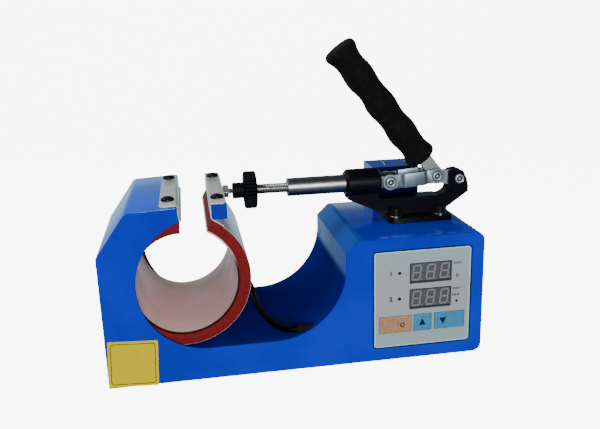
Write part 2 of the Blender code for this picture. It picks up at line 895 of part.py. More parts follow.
lead_exit_angle = -45.0
lead_exit_y = 0.1160
lead_exit = arc(heater_centre, heater_outer_radius + gap, lead_exit_angle, lead_exit_angle, 1)[0]
lead_way = [
    (0.1066, 0.1160, 0.0141),
    (0.1100, 0.1165, 0.0110),
    (0.1155, 0.1175, 0.0086),
    (0.1220, 0.1180, 0.0088),
    (0.1273, 0.1155, 0.0072),
    (0.1296, 0.1105, 0.0030),
    (0.1303, 0.1040, 0.0002),
    (0.1307, 0.0920, 0.0000),
    (0.1326, 0.0680, 0.0000),
    (0.1358, 0.0488, 0.0001),
    (0.1402, 0.0315, 0.0003),
    (0.1445, 0.0200, 0.0008),
    (0.1488, 0.0122, 0.0020),
    (0.1532, 0.0086, 0.0029),
]
lead_step = 0.0045


def smooth_way(points, step):
    """A smooth curve through the points, sampled at about equal steps."""
    way = [Vector(point) for point in points]
    fine = []
    for i in range(len(way) - 1):
        before = way[max(i - 1, 0)]
        after = way[min(i + 2, len(way) - 1)]
        for j in range(12):
            t = j / 12
            here, there = way[i], way[i + 1]
            fine.append(here + (there - before) * (t / 2)
                        + (before - here * 2.5 + there * 2 - after * 0.5) * t ** 2
                        + (here * 1.5 - before * 0.5 - there * 1.5 + after * 0.5) * t ** 3)
    fine.append(way[-1])
    total = sum((b - a).length for a, b in zip(fine, fine[1:]))
    count = max(round(total / step), 2)
    chosen = [fine[0]]
    walked = 0
    for a, b in zip(fine, fine[1:]):
        walked += (b - a).length
        if walked >= total * len(chosen) / count and len(chosen) < count:
            chosen.append(b)
    chosen.append(fine[-1])
    return chosen, total


def tube(points, radius, resolution):
    curve = bpy.data.curves.new("tube", "CURVE")
    curve.dimensions = "3D"
    curve.bevel_depth = radius
    curve.bevel_resolution = resolution
    curve.use_fill_caps = True
    spline = curve.splines.new("POLY")
    spline.points.add(len(points) - 1)
    for point, place in zip(spline.points, points):
        point.co = (*place, 1)
    item = bpy.data.objects.new("tube", curve)
    parts.objects.link(item)
    return item


def make_lead():
    way = [(lead_exit[0], lead_exit_y, lead_exit[1])]
    way += [(x, y, lead_lying + rise) for x, y, rise in lead_way]
    way += [(grommet_x, lead_end_y, lead_end_z), (relay_x - gap, lead_end_y, lead_end_z)]
    points, length = smooth_way(way, lead_step)
    lead = tube(points, lead_radius, 2)
    finish(lead, "heater_lead", black, 0.6, 0.0)
    print("heater lead length", round(length, 4))
    outer = arc((lead_end_y, lead_end_z), grommet_radius, 0, 337.5, 15)
    inner = arc((lead_end_y, lead_end_z), lead_radius + gap, 0, 337.5, 15)
    sleeve = outline_slab([outer, inner], grommet_end - grommet_x,
                          ((grommet_x + grommet_end) / 2, 0, 0), "side")
    finish(sleeve, "lead_grommet", black, 0.6, 0.0)


# Clamp body

neck_start = 0.2155
neck_drop = 0.0135
neck_low = rod_height - neck_drop
neck_end = 0.2560
flange_corner = 0.0060
barrel_edge = 0.0022
bore_clearance = 0.0003
deck_end = 0.2995
lug_left = 0.0102
lug_shoulder = 0.0071
lug_top = 0.0094
lug_low = 0.0122
lug_root_x = 0.3082
lug_root_drop = 0.0126
lug_root_z = deck_height - lug_root_drop
deck_fillet = 0.0090
eye_radius = 0.0073
eye_clearance = 0.0010


def make_clamp_body():
    width = clamp_width_place
    flange_low = box_top + gap
    flange_high = flange_low + flange_thickness
    flange_loop = rounded_rectangle(flange_start, flange_end, width - flange_half_width,
                                    width + flange_half_width, flange_corner)
    body = outline_slab([flange_loop], flange_thickness,
                        (0, 0, flange_low + flange_thickness / 2), "top")
    web_low = flange_high - flange_thickness / 2
    web = [
        (neck_start, neck_low), (neck_start, rod_height), (barrel_end - barrel_edge, rod_height),
        (barrel_end - barrel_edge, deck_height), (deck_end, deck_height), (deck_end, web_low),
        (neck_end, web_low),
    ]
    web_slab = outline_slab([web], 2 * deck_half_width, (0, width, 0), "front")
    fillet_centre = (pivot_x - lug_left - deck_fillet, deck_height + deck_fillet)
    lug = [(deck_end - deck_fillet, deck_height - gap), (deck_end + gap, deck_height - gap)]
    lug += arc(fillet_centre, deck_fillet, 280, 360, 5)
    lug += [
        (pivot_x - lug_left, pivot_z + lug_shoulder), (pivot_x - lug_shoulder, pivot_z + lug_top - sheet / 2),
        (pivot_x - sheet, pivot_z + lug_top), (pivot_x + lug_shoulder / 2, pivot_z + lug_shoulder),
        (pivot_x + lug_shoulder, pivot_z), (pivot_x + lug_reach, pivot_z - lug_shoulder),
        (pivot_x + lug_reach, pivot_z - lug_low), (lug_root_x, lug_root_z),
        (flange_end - gap, flange_high - gap), (deck_end - deck_fillet, flange_high - gap),
    ]
    lug_slab = outline_slab([lug], 2 * lug_half_width, (0, width, 0), "front")
    profile_edge = barrel_radius - barrel_edge
    barrel_length = barrel_end - barrel_start
    barrel_profile = [
        (0, barrel_length), (profile_edge, barrel_length), (barrel_radius, barrel_length - barrel_edge),
        (barrel_radius, barrel_edge), (profile_edge, 0), (0, 0),
    ]
    barrel = turned(barrel_profile, 32)
    barrel.data.transform(Matrix.Translation((barrel_start, width, rod_height)) @ axis_turns["x"])
    join(body, web_slab, lug_slab, barrel)
    bore = cylinder(plunger_radius + bore_clearance, (barrel_start - sheet, width, rod_height),
                    barrel_end + sheet, "x", 32)
    slot = box((pivot_x - lug_left - deck_fillet, width - slot_half_width, pivot_z - eye_radius - eye_clearance),
               (pivot_x + lug_reach + sheet, width + slot_half_width, pivot_z + lug_top + sheet))
    pin_hole = cylinder(rivet_radius + gap, (pivot_x, width - 2 * lug_half_width, pivot_z),
                        width + 2 * lug_half_width, "y", 20)
    cut(body, slot, pin_hole, *bolt_holes(box_top - sheet, flange_high + sheet), bore)
    finish(body, "clamp_body", black, 0.35, 0.2)


washer_radius = 0.0060
washer_thickness = 0.0010
bolt_head_radius = 0.0048
bolt_head_height = 0.0062
bolt_socket_radius = 0.0025
bolt_tail = 0.0060
bolt_edge = 0.0005


def make_clamp_bolts():
    seat = box_top + gap + flange_thickness + gap
    profile = [
        (0, washer_thickness + bolt_head_height / 2),
        (bolt_socket_radius, washer_thickness + bolt_head_height / 2),
        (bolt_socket_radius, washer_thickness + bolt_head_height),
        (bolt_head_radius - bolt_edge, washer_thickness + bolt_head_height),
        (bolt_head_radius, washer_thickness + bolt_head_height - bolt_edge),
        (bolt_head_radius, washer_thickness),
        (washer_radius, washer_thickness),
        (washer_radius, 0),
        (bolt_radius, 0),
        (bolt_radius, -flange_thickness - bolt_tail),
        (0, -flange_thickness - bolt_tail),
    ]
    names = ("front_left", "front_right", "rear_left", "rear_right")
    for name, (x, y) in zip(names, bolt_places):
        bolt = turned(profile, 20)
        finish(bolt, f"clamp_bolt_{name}", black, 0.35, 0.5)
        bolt.location = (x, y, seat)


# Push rod: plunger, adjusting screw, knob and swivel socket

screw_radius = 0.0045
screw_end = 0.2040
thread_pitch = 0.0015
thread_depth = 0.0008
thread_start = 0.1344
knob_start = 0.1232
knob_radius = 0.0165
knob_scallops = 24
knob_scallop_depth = 0.0013
socket_start = 0.1132
socket_radius = 0.0070
socket_bore = 0.0050
socket_depth = 0.0081
socket_edge = 0.0006
screw_travel = 0.0045


def make_plunger():
    end = plunger_pin_x + plunger_tail
    plunger = cylinder(plunger_radius, (plunger_start, clamp_width_place, rod_height), end, "x", 32)
    bore = cylinder(screw_radius + bore_clearance, (plunger_start - sheet, clamp_width_place, rod_height),
                    screw_end + screw_travel, "x", 24)
    flats = []
    for side in (-1, 1):
        inner = clamp_width_place + side * plunger_flat
        outer = clamp_width_place + side * (plunger_radius + sheet)
        low_y, high_y = sorted((inner, outer))
        flats.append(box((plunger_pin_x - eye_radius - eye_clearance, low_y, rod_height - 2 * plunger_radius),
                         (end + sheet, high_y, rod_height + 2 * plunger_radius)))
    pin_hole = cylinder(rivet_radius + gap, (plunger_pin_x, clamp_width_place - 2 * plunger_radius, rod_height),
                        clamp_width_place + 2 * plunger_radius, "y", 20)
    cut(plunger, bore, pin_hole, *flats)
    set_origin(plunger, (plunger_pin_x, clamp_width_place, rod_height))
    finish(plunger, "plunger", steel, 0.25, 1.0)


def make_adjust_screw():
    """A threaded rod: its turned profile has a ridge for each turn of thread outside the plunger."""
    length = screw_end - knob_start - gap
    ridge_end = plunger_start - thread_start
    top = length - (thread_start - knob_start)
    profile = [(0, length), (screw_radius - thread_depth, length), (screw_radius - thread_depth, top)]
    turns = int(ridge_end / thread_pitch)
    for i in range(turns):
        height = top - i * thread_pitch
        profile.append((screw_radius, height - thread_pitch / 2))
        profile.append((screw_radius - thread_depth, height - thread_pitch))
    profile += [(screw_radius, top - ridge_end), (screw_radius, 0), (0, 0)]
    screw = turned(profile, 16)
    place = Matrix.Translation((screw_end, clamp_width_place, rod_height))
    screw.data.transform(place @ Matrix.Rotation(-math.pi / 2, 4, "Y"))
    set_origin(screw, (thread_start, clamp_width_place, rod_height))
    finish(screw, "adjust_screw", steel, 0.3, 1.0)


def make_knob():
    outline = []
    count = knob_scallops * 4
    for i in range(count):
        angle = 2 * math.pi * i / count
        dip = (1 - math.cos(knob_scallops * angle)) / 2
        radius = knob_radius - knob_scallop_depth * dip ** 2
        outline.append((clamp_width_place + radius * math.cos(angle), rod_height + radius * math.sin(angle)))
    hole = arc((clamp_width_place, rod_height), screw_radius + gap - thread_depth, 0, 337.5, 15)
    thickness = thread_start - knob_start - gap
    knob = outline_slab([outline, hole], thickness, (knob_start + thickness / 2, 0, 0), "side")
    set_origin(knob, (thread_start, clamp_width_place, rod_height))
    finish(knob, "knob", black, 0.5, 0.0)


def make_swivel_socket():
    length = knob_start - gap - socket_start
    profile = [
        (0, length - socket_depth), (socket_bore, length - socket_depth), (socket_bore, length),
        (socket_radius - socket_edge, length), (socket_radius, length - socket_edge), (socket_radius, 0),
        (0, 0),
    ]
    socket = turned(profile, 28)
    place = Matrix.Translation((knob_start - gap, clamp_width_place, rod_height))
    socket.data.transform(place @ Matrix.Rotation(-math.pi / 2, 4, "Y"))
    set_origin(socket, (knob_start, clamp_width_place, rod_height))
    finish(socket, "swivel_socket", black, 0.45, 0.0)


# Toggle links, rivets, handle and grip

link_inner = 0.0066
link_thickness = 0.0020
link_bulge = 0.0022
link_middle = 0.0063
link_bend = 0.0030
bulge_start = 0.0125
bulge_end = 0.0310


def link_frame():
    """Places link coordinates (along the link, across it) from the plunger's pin to the link's pin."""
    angle = math.atan2(link_pin_z - rod_height, link_pin_x - plunger_pin_x)
    place = Matrix.Translation((plunger_pin_x, clamp_width_place, rod_height))
    return place @ Matrix.Rotation(-angle, 4, "Y")


link_length = math.hypot(link_pin_x - plunger_pin_x, link_pin_z - rod_height)


def make_link(side):
    sign = -1 if side == "front" else 1
    neck_angle = math.degrees(math.asin(link_middle / eye_radius))
    outline = arc((0, 0), eye_radius, neck_angle, 360 - neck_angle, 14)
    outline += arc((link_length, 0), eye_radius, neck_angle - 180, 180 - neck_angle, 14)
    holes = [arc((x, 0), rivet_radius + gap, 0, 340, 17) for x in (0, link_length)]
    total = link_thickness + link_bulge
    centre_y = sign * (link_inner + total / 2)
    link = outline_slab([outline] + holes, total + 2 * gap, (0, centre_y, 0), "front")
    path = [
        (-2 * eye_radius, 0), (bulge_start - link_bend, 0), (bulge_start, link_bulge),
        (bulge_end, link_bulge), (bulge_end + link_bend, 0), (link_length + 2 * eye_radius, 0),
    ]
    inner = [(x, sign * (link_inner + rise)) for x, rise in path]
    outer = [(x, sign * (link_inner + link_thickness + rise)) for x, rise in path]
    band = outline_slab([inner + outer[::-1]], 4 * eye_radius, (0, 0, 0), "top")
    combine(link, [band], "INTERSECT")
    link.data.transform(link_frame())
    set_origin(link, (plunger_pin_x, clamp_width_place, rod_height))
    finish(link, f"link_{side}", zinc, 0.35, 0.9)


def rivet_profile(length, head):
    """A tubular rivet's half section: a dished head, its shaft and the plain end."""
    points = [(rivet_radius * shaft + rivet_head_radius * rim, length + head * up)
              for shaft, rim, up in rivet_head_shares]
    return points + [(rivet_radius, length)]


def full_rivet(name, x, z, half_length):
    """A rivet across the clamp's middle, with a head at each end."""
    top = rivet_profile(half_length, rivet_head_height)
    low = [(radius, -height) for radius, height in top[::-1]]
    rivet = turned(top + low, 20)
    rivet.data.transform(Matrix.Translation((x, clamp_width_place, z)) @ axis_turns["y"])
    finish(rivet, name, zinc, 0.3, 1.0)
    set_origin(rivet, (x, clamp_width_place, z))


link_outer = link_inner + link_thickness


def make_rivets():
    full_rivet("plunger_pin", plunger_pin_x, rod_height, link_outer + gap)
    full_rivet("handle_pivot_pin", pivot_x, pivot_z, lug_half_width + gap)
    for side, sign in (("front", -1), ("rear", 1)):
        shaft = link_outer + gap - link_inner
        profile = rivet_profile(shaft, rivet_head_height) + [(rivet_radius, 0), (0, 0)]
        rivet = turned(profile, 20)
        turn = Matrix.Rotation(-sign * math.pi / 2, 4, "X")
        place = Matrix.Translation((link_pin_x, clamp_width_place + sign * link_inner, link_pin_z))
        rivet.data.transform(place @ turn)
        set_origin(rivet, (plunger_pin_x, clamp_width_place, rod_height))
        finish(rivet, f"link_rivet_{side}", zinc, 0.3, 1.0)


arm_centre_across = 0.0015
grip_centre_across = -0.0005
arm_end = 0.1300
arm_boss_radius = 0.0065
arm_eye_radius = 0.0074
grip_wave = 0.0008
grip_waves = 4
grip_flare = 0.0018
grip_round = 0.0075
grip_end_share = 0.75
grip_curve_share = 0.96


def along_grip(distance, across):
    """A point in the x z plane, along the grip's direction from the link's pin, and across it."""
    angle = math.radians(grip_angle)
    return (link_pin_x + distance * math.cos(angle) + across * math.sin(angle),
            link_pin_z + distance * math.sin(angle) - across * math.cos(angle))


def make_handle_arm():
    left = arm_centre_across - arm_half_width
    right = arm_centre_across + arm_half_width
    outline = [along_grip(eye_radius, right), along_grip(arm_end, right), along_grip(arm_end, left)]
    outline += [along_grip(eye_radius, left)]
    outline += arc((link_pin_x, link_pin_z), arm_boss_radius, 190, 250, 4)
    outline += arc((pivot_x, pivot_z), arm_eye_radius, 260, 450, 12)
    outline += [along_grip(-sheet, right + sheet / 2)]
    arm = outline_slab([outline], 2 * arm_half_thickness, (0, clamp_width_place, 0), "front")
    boss = cylinder(arm_boss_radius, (link_pin_x, clamp_width_place - plunger_flat, link_pin_z),
                    clamp_width_place + plunger_flat, "y", 24)
    join(arm, boss)
    hole = cylinder(rivet_radius + gap, (pivot_x, clamp_width_place - 2 * arm_half_thickness, pivot_z),
                    clamp_width_place + 2 * arm_half_thickness, "y", 20)
    cut(arm, hole)
    set_origin(arm, (pivot_x, clamp_width_place, pivot_z))
    finish(arm, "handle_arm", zinc, 0.4, 0.8)


def grip_profile():
    """The grip's outer line from its top to its bottom: flared round ends and finger waves."""
    points = [(0, grip_length)]
    steps = 34
    for i in range(steps + 1):
        share = i / steps
        height = grip_length * (1 - share)
        end_distance = min(height, grip_length - height)
        wave = math.cos(2 * math.pi * grip_waves * share)
        flare = math.exp(-(end_distance / grip_round) ** 2)
        radius = grip_radius + grip_wave * wave + grip_flare * flare
        if end_distance < grip_round:
            inward = 1 - end_distance / grip_round
            radius -= grip_round * grip_end_share * (1 - math.sqrt(1 - inward ** 2 * grip_curve_share))
        points.append((radius, height))
    points.append((0, 0))
    return points


def make_grip():
    grip = turned(grip_profile(), 24)
    across = arm_centre_across - grip_centre_across
    slot = box((across - arm_half_width - gap, -arm_half_thickness - gap, -sheet),
               (across + arm_half_width + gap, arm_half_thickness + gap, arm_end - grip_start + gap))
    cut(grip, slot)
    foot = along_grip(grip_start, grip_centre_across)
    turn = Matrix.Rotation(math.radians(90 - grip_angle), 4, "Y")
    grip.data.transform(Matrix.Translation((foot[0], clamp_width_place, foot[1])) @ turn)
    set_origin(grip, (pivot_x, clamp_width_place, pivot_z))
    finish(grip, "handle_grip", black, 0.85, 0.0)


make_front_plate()
make_rear_plate()
make_tower_cover()
make_trough_sheet()
make_control_cover()
make_base_plate()
make_feet()
make_sticker()
make_panel()
make_displays()
make_keys()
make_controller_board()
make_relay()
make_mains_inlet()
make_switch()
make_rear_box()
make_side_screws()
make_strap_left()
make_strap_right()
make_heater_lining()
make_flange_screws()
make_strap_flange()
make_push_block()
make_stud_and_nut()
make_lead()
make_clamp_body()
make_clamp_bolts()
make_plunger()
make_adjust_screw()
make_knob()
make_swivel_socket()
make_link("front")
make_link("rear")
make_rivets()
make_handle_arm()
make_grip()
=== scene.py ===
import bpy
import bmesh
import json
import math
import numpy as np
from mathutils import Matrix, Vector

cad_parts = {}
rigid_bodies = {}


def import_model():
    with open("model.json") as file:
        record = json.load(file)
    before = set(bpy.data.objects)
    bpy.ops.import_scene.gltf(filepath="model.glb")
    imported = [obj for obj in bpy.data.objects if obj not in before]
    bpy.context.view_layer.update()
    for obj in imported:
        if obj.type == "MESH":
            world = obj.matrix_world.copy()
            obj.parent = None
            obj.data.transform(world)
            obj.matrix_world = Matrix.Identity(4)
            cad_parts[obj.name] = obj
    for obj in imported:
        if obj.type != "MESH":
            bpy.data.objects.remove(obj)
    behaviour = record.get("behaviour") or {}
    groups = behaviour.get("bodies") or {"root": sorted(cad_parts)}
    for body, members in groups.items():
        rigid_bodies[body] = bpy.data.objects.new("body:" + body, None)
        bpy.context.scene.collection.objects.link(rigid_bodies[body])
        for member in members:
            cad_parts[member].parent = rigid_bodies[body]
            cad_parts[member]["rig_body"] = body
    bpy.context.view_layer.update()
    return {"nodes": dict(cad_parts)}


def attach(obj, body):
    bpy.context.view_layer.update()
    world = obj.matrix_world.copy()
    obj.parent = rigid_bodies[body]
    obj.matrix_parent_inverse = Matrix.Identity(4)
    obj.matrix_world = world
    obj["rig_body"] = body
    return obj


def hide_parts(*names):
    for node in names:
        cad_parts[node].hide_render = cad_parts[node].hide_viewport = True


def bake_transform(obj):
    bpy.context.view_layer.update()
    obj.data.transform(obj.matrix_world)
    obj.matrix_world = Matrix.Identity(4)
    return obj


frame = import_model()
print("frame loaded,", len(frame["nodes"]), "solids")

# Shapes are worked out in millimetres from the housing's lower left front corner,
# x to the right, y to the back, z up, and moved to the frame when they become meshes.
mm = 0.001
shift = np.array([-164.35, -66.9, 3.0])
middleY = 65.6    # y of the plane that halves the band and the clamp


def inFrame(*place):
    return (np.array(place, float) + shift) * mm


# camera, light and floor

camera = {
    "place": (77.1, -535.9, 285.1),
    "yaw": 9.02,      # degrees to the right of straight on
    "pitch": -15.34,
    "roll": -1.71,
    "lens": 42.126,
    "sensor": 36,
    "nearest": 0.01,  # metres
}


def addCamera():
    # looks along yaw and pitch, then turns about its own line of sight by roll
    yaw, pitch, roll = (math.radians(camera[key]) for key in ("yaw", "pitch", "roll"))
    forward = Vector((math.sin(yaw) * math.cos(pitch), math.cos(yaw) * math.cos(pitch), math.sin(pitch)))
    level = forward.cross(Vector((0, 0, 1))).normalized()
    above = level.cross(forward)
    right = math.cos(roll) * level + math.sin(roll) * above
    up = math.cos(roll) * above - math.sin(roll) * level
    data = bpy.data.cameras.new("photoCamera")
    data.lens = camera["lens"]
    data.sensor_width = camera["sensor"]
    data.clip_start = camera["nearest"]
    view = bpy.data.objects.new("photoCamera", data)
    turn = Matrix((right, up, -forward)).transposed().to_4x4()
    view.matrix_world = Matrix.Translation(Vector(inFrame(*camera["place"]))) @ turn
    bpy.context.scene.collection.objects.link(view)
    bpy.context.scene.camera = view


lamps = {
    "keyLamp": {"place": (-0.05, -1.60, 0.50), "size": 0.55, "power": 33, "colour": (1.0, 0.99, 0.97)},
    "topLamp": {"place": (-0.75, 0.05, 1.00), "size": 0.7, "power": 8, "colour": (1.0, 1.0, 1.0)},
}
lampAim = (0, 0, 0.08)
world = {
    "colour": (0.56, 0.83, 1.0), "dim": 0.045, "glow": 1.20, "low": 0.45,
    # between which values of a direction's x, y or z each light grows from none to full
    "behind": (0.1, 0.8), "behindLow": (-0.5, -0.3), "overhead": (-0.10, 0.14), "overheadCut": 0.5,
    "front": (-0.9, -0.5), "frontLow": (-0.50, -0.25),
    "right": (-0.05, 0.20), "rightHigh": (0.0, 0.16), "rightCut": 0.78,
}
floor = {"half": 3.0, "back": 1.2, "bend": 0.8, "rise": 3.0, "colour": (0.90, 0.90, 0.90), "glow": 8.0}


def addLights():
    for name, lamp in lamps.items():
        data = bpy.data.lights.new(name, "AREA")
        data.shape = "DISK"
        data.size = lamp["size"]
        data.energy = lamp["power"]
        data.color = lamp["colour"]
        light = bpy.data.objects.new(name, data)
        light.location = lamp["place"]
        aim = Vector(lampAim) - light.location
        light.rotation_euler = aim.to_track_quat("-Z", "Y").to_euler()
        bpy.context.scene.collection.objects.link(light)


addCamera()
addLights()
print("camera and lamps placed")


# finishes

class Value:  # a socket in a node tree, which Python's operators work on
    def __init__(self, nodes, socket):
        self.nodes = nodes
        self.socket = socket

    def maths(self, operation, *terms):
        return self.nodes.node("ShaderNodeMath", {"operation": operation}, dict(enumerate(terms)))

    def __add__(self, other):
        return self.maths("ADD", self, other)

    def __radd__(self, other):
        return self.maths("ADD", other, self)

    def __sub__(self, other):
        return self.maths("SUBTRACT", self, other)

    def __rsub__(self, other):
        return self.maths("SUBTRACT", other, self)

    def __mul__(self, other):
        return self.maths("MULTIPLY", self, other)

    def __rmul__(self, other):
        return self.maths("MULTIPLY", other, self)

    def __pow__(self, other):
        return self.maths("POWER", self, other)

    def __abs__(self):
        return self.maths("ABSOLUTE", self)

    def smaller(self, other):
        return self.maths("MINIMUM", self, other)

    def sine(self):
        return self.maths("SINE", self)

    def soft(self, low, high):  # 0 below low, 1 above high, smooth between
        return self.nodes.node("ShaderNodeMapRange", {"interpolation_type": "SMOOTHSTEP"},
                               {0: self, 1: low, 2: high})


class Nodes:  # the node tree of a material or a world, whose nodes all come from one method
    def __init__(self, owner):
        owner.use_nodes = True
        self.tree = owner.node_tree

    def node(self, kind, settings=None, sockets=None, output=0):
        made = self.tree.nodes.new(kind)
        for key, setting in (settings or {}).items():
            setattr(made, key, setting)
        for key, value in (sockets or {}).items():
            if isinstance(value, Value):
                self.tree.links.new(value.socket, made.inputs[key])
            else:
                made.inputs[key].default_value = value
        return Value(self, made.outputs[output])

    def axes(self):
        return [self.node("ShaderNodeSeparateXYZ", {}, {0: self.place}, side) for side in range(3)]


def addWorld():
    # light comes from behind, from about the floor's line and below, and more of it from the left;
    # a little comes off the floor in front, and it is dim overhead
    sky = bpy.data.worlds.new("studio")
    nodes = Nodes(sky)
    nodes.place = nodes.node("ShaderNodeTexCoord", output="Generated")
    x, y, z = nodes.axes()
    w = world
    behind = y.soft(*w["behind"]) * z.soft(*w["behindLow"]) * (1 - z.soft(*w["overhead"]) * w["overheadCut"])
    front = (1 - y.soft(*w["front"])) * (1 - z.soft(*w["frontLow"]))
    right = x.soft(*w["right"]) * z.soft(*w["rightHigh"])
    strength = behind * (1 - right * w["rightCut"]) * w["glow"] + front * w["low"] + w["dim"]
    background = nodes.tree.nodes["Background"]
    background.inputs["Color"].default_value = (*w["colour"], 1)
    nodes.tree.links.new(strength.socket, background.inputs["Strength"])
    bpy.context.scene.world = sky


class Finish(Nodes):  # one material: a Principled shader and the nodes that vary it
    def __init__(self, name, colour, roughness, metallic=0.0, **constants):
        self.material = bpy.data.materials.new(name)
        super().__init__(self.material)
        self.shader = self.tree.nodes["Principled BSDF"]
        self.shader.inputs["Base Color"].default_value = (*colour, 1)
        self.shader.inputs["Roughness"].default_value = roughness
        self.shader.inputs["Metallic"].default_value = metallic
        for key, constant in constants.items():
            self.shader.inputs[key.replace("_", " ")].default_value = constant
        self.place = self.node("ShaderNodeTexCoord", output="Object")

    def stretch(self, x, y, z):
        return self.node("ShaderNodeMapping", {}, {"Vector": self.place, "Scale": (x, y, z)})

    def noise(self, scale, detail=3.0, rough=0.55, where=None):
        return self.node("ShaderNodeTexNoise", {}, {
            "Vector": where or self.place, "Scale": scale, "Detail": detail, "Roughness": rough})

    def cells(self, scale):
        return self.node("ShaderNodeTexVoronoi", {}, {"Vector": self.place, "Scale": scale})

    def mix(self, first, second, share):  # the node's sockets 6 and 7 are its two colours
        first, second = ((*c, 1) if isinstance(c, tuple) else c for c in (first, second))
        return self.node("ShaderNodeMix", {"data_type": "RGBA"}, {0: share, 6: first, 7: second}, 2)

    def feed(self, **values):
        for key, value in values.items():
            self.tree.links.new(value.socket, self.shader.inputs[key.replace("_", " ")])

    def bump(self, height, strength, depth):
        self.feed(Normal=self.node("ShaderNodeBump", {}, {
            "Strength": strength, "Distance": depth, "Height": height}))


addWorld()


def tinted(colour, share):
    return tuple(min(channel * share, 1.0) for channel in colour)


paint = {
    "housing": (0.0003, 0.021, 0.48),
    # the trough's paint is darker than the housing's: painted shade
    "trough": (0.0003, 0.0016, 0.18),
    # the push block's paint is darker than the housing's: painted shade
    "block": (0.0003, 0.010, 0.38),
    # the tower's paint is paler than the housing's: painted light
    "tower": (0.003, 0.085, 0.78),
    "gloss": 0.16,
    "coats": {"outside": 0.40, "trough": 0.02, "tower": 0.60, "plate": 0.6, "rearBox": 0.05},
    "wall": (0.008, 0.060, 0.36),      # the trough's upper right wall, which catches more light
    "wallCoat": 0.30,
    "shade": (0.001, 0.003, 0.030),    # the rear box's front, behind the clamp
    # places in the frame, and the depth of the orange peel, in metres
    "wallAcross": (0.014, 0.036), "wallRise": (0.078, 0.087),
    "cutDepth": (0.0001, 0.0003), "cutRise": (0.110, 0.118),
    "shadeEnd": 0.0285, "shadeEdge": 0.0002,
    "peel": 0.00006,
}


def paintFinish(name, colour, place="outside"):
    # broad clouds of thicker and thinner paint, fine orange peel and a few dust specks; in the
    # trough, but for its upper right wall, and on the front plate's cut edge the paint is dull
    coat = paint["coats"][place]
    finish = Finish(name, colour, paint["gloss"], Coat_Weight=coat, Coat_Roughness=0.05,
                    Specular_IOR_Level=0.3 if place in ("outside", "rearBox") else 0.0)
    cloud = finish.noise(11, 4)
    dust = finish.noise(420, 2).soft(0.70, 0.76)
    body = finish.mix(tinted(colour, 0.82), tinted(colour, 1.16), cloud.soft(0.3, 0.7))
    x, y, z = finish.axes()
    # in the trough, the upper right wall's paler colour is painted light
    if place == "trough":
        wall = x.soft(*paint["wallAcross"]) * z.soft(*paint["wallRise"])
        finish.feed(Coat_Weight=wall * paint["wallCoat"] + coat)
        body = finish.mix(body, paint["wall"], wall)
    if place == "plate":
        cut = (y - shift[1] * mm).soft(*paint["cutDepth"]) * (1 - z.soft(*paint["cutRise"]))
        finish.feed(Coat_Weight=(1 - cut) * coat)
    if place in ("tower", "rearBox"):
        finish.feed(Coat_Weight=cloud * 0.1 + coat)
    if place == "rearBox":
        body = finish.mix(paint["shade"], body, (y - paint["shadeEnd"]).soft(0, paint["shadeEdge"]))
    finish.feed(Base_Color=finish.mix(body, tinted(colour, 1.6), dust * 0.35),
                Roughness=paint["gloss"] - 0.05 + cloud * 0.12 + dust * 0.2)
    finish.bump(finish.noise(260, 2) + dust * 0.6, 0.5, paint["peel"])
    return finish


def metalFinish(name, colour, roughness, lines, metallic=1.0, depth=0.00002, coat=0.0):
    # fine scratches drawn out along one direction, over slow blotches of tone
    finish = Finish(name, colour, roughness, metallic, Coat_Weight=coat, Coat_Roughness=0.15)
    scratch = finish.noise(1, 4, 0.7, finish.stretch(*lines))
    blotch = finish.noise(160, 3)
    tone = finish.mix(tinted(colour, 0.72), tinted(colour, 1.15), scratch * 0.6 + blotch * 0.4)
    finish.feed(Base_Color=tone, Roughness=roughness - 0.12 + scratch * 0.16 + blotch * 0.10)
    finish.bump(scratch, 0.35, depth)
    return finish


def mouldedFinish(name, colour, roughness, grain, depth, fade=1.5, shine=0.3):
    # a fine moulded or cast grain with rubbed, paler patches
    finish = Finish(name, colour, roughness, Specular_IOR_Level=shine)
    fine = finish.noise(grain, 4)
    rub = finish.noise(70, 3).soft(0.5, 0.8)
    finish.feed(Base_Color=finish.mix(colour, tinted(colour, fade), rub * 0.7 + fine * 0.3),
                Roughness=roughness - 0.08 + fine * 0.16)
    finish.bump(fine, 0.6, depth)
    return finish


def spongeFinish(name, colour):
    # closed-cell silicone: small pores, a powdery face and darker flecks
    finish = Finish(name, colour, 0.78, Sheen_Weight=0.04, Sheen_Roughness=0.6, Specular_IOR_Level=0.15)
    pores = finish.cells(1100)
    fleck = finish.noise(380, 3).soft(0.52, 0.72)
    finish.feed(Base_Color=finish.mix(tinted(colour, 1.12), tinted(colour, 0.62), fleck),
                Roughness=0.70 + fleck * 0.15)
    finish.bump(pores - fleck * 0.4, 0.5, 0.00012)
    return finish


def skinFinish(name, colour):
    # the coated glass cloth that lines the heater: a faint weave, warm stains, and a front edge
    # darkened with painted shade where the band is low
    finish = Finish(name, colour, 0.45, Specular_IOR_Level=0.08)
    x, y, z = finish.axes()
    front = (heater["front"] + shift[1]) * mm
    edge = (1 - (y - front).soft(*heater["edgeShadeDepth"])) * (1 - z.soft(*heater["edgeShadeRise"]))
    weave = ((x * heater["weave"]).sine() + (z * heater["weave"]).sine()) * (y * heater["weave"]).sine()
    stain = finish.noise(26, 4).soft(0.35, 0.75)
    cloth = finish.mix(tinted(colour, 1.05), tinted(colour, 0.78), stain * 0.55)
    finish.feed(Base_Color=finish.mix(cloth, heater["edgeShade"], edge),
                Roughness=0.36 + stain * 0.2)
    finish.bump(weave, 0.25, 0.00003)
    return finish


foam = {"deep": (0.0016, 0.0016, 0.002), "high": (0.006, 0.006, 0.007)}


def gripFinish(name):
    # foam: small pores over soft lumps, which are paler
    finish = Finish(name, foam["high"], 0.9, Sheen_Weight=0.02, Specular_IOR_Level=0.12)
    pores = finish.cells(900)
    lump = finish.noise(190, 5, 0.65)
    finish.feed(Base_Color=finish.mix(foam["deep"], foam["high"], lump.soft(0.4, 0.75)),
                Roughness=0.82 + lump * 0.14)
    finish.bump(lump + pores * 0.5, 0.8, 0.0003)
    return finish


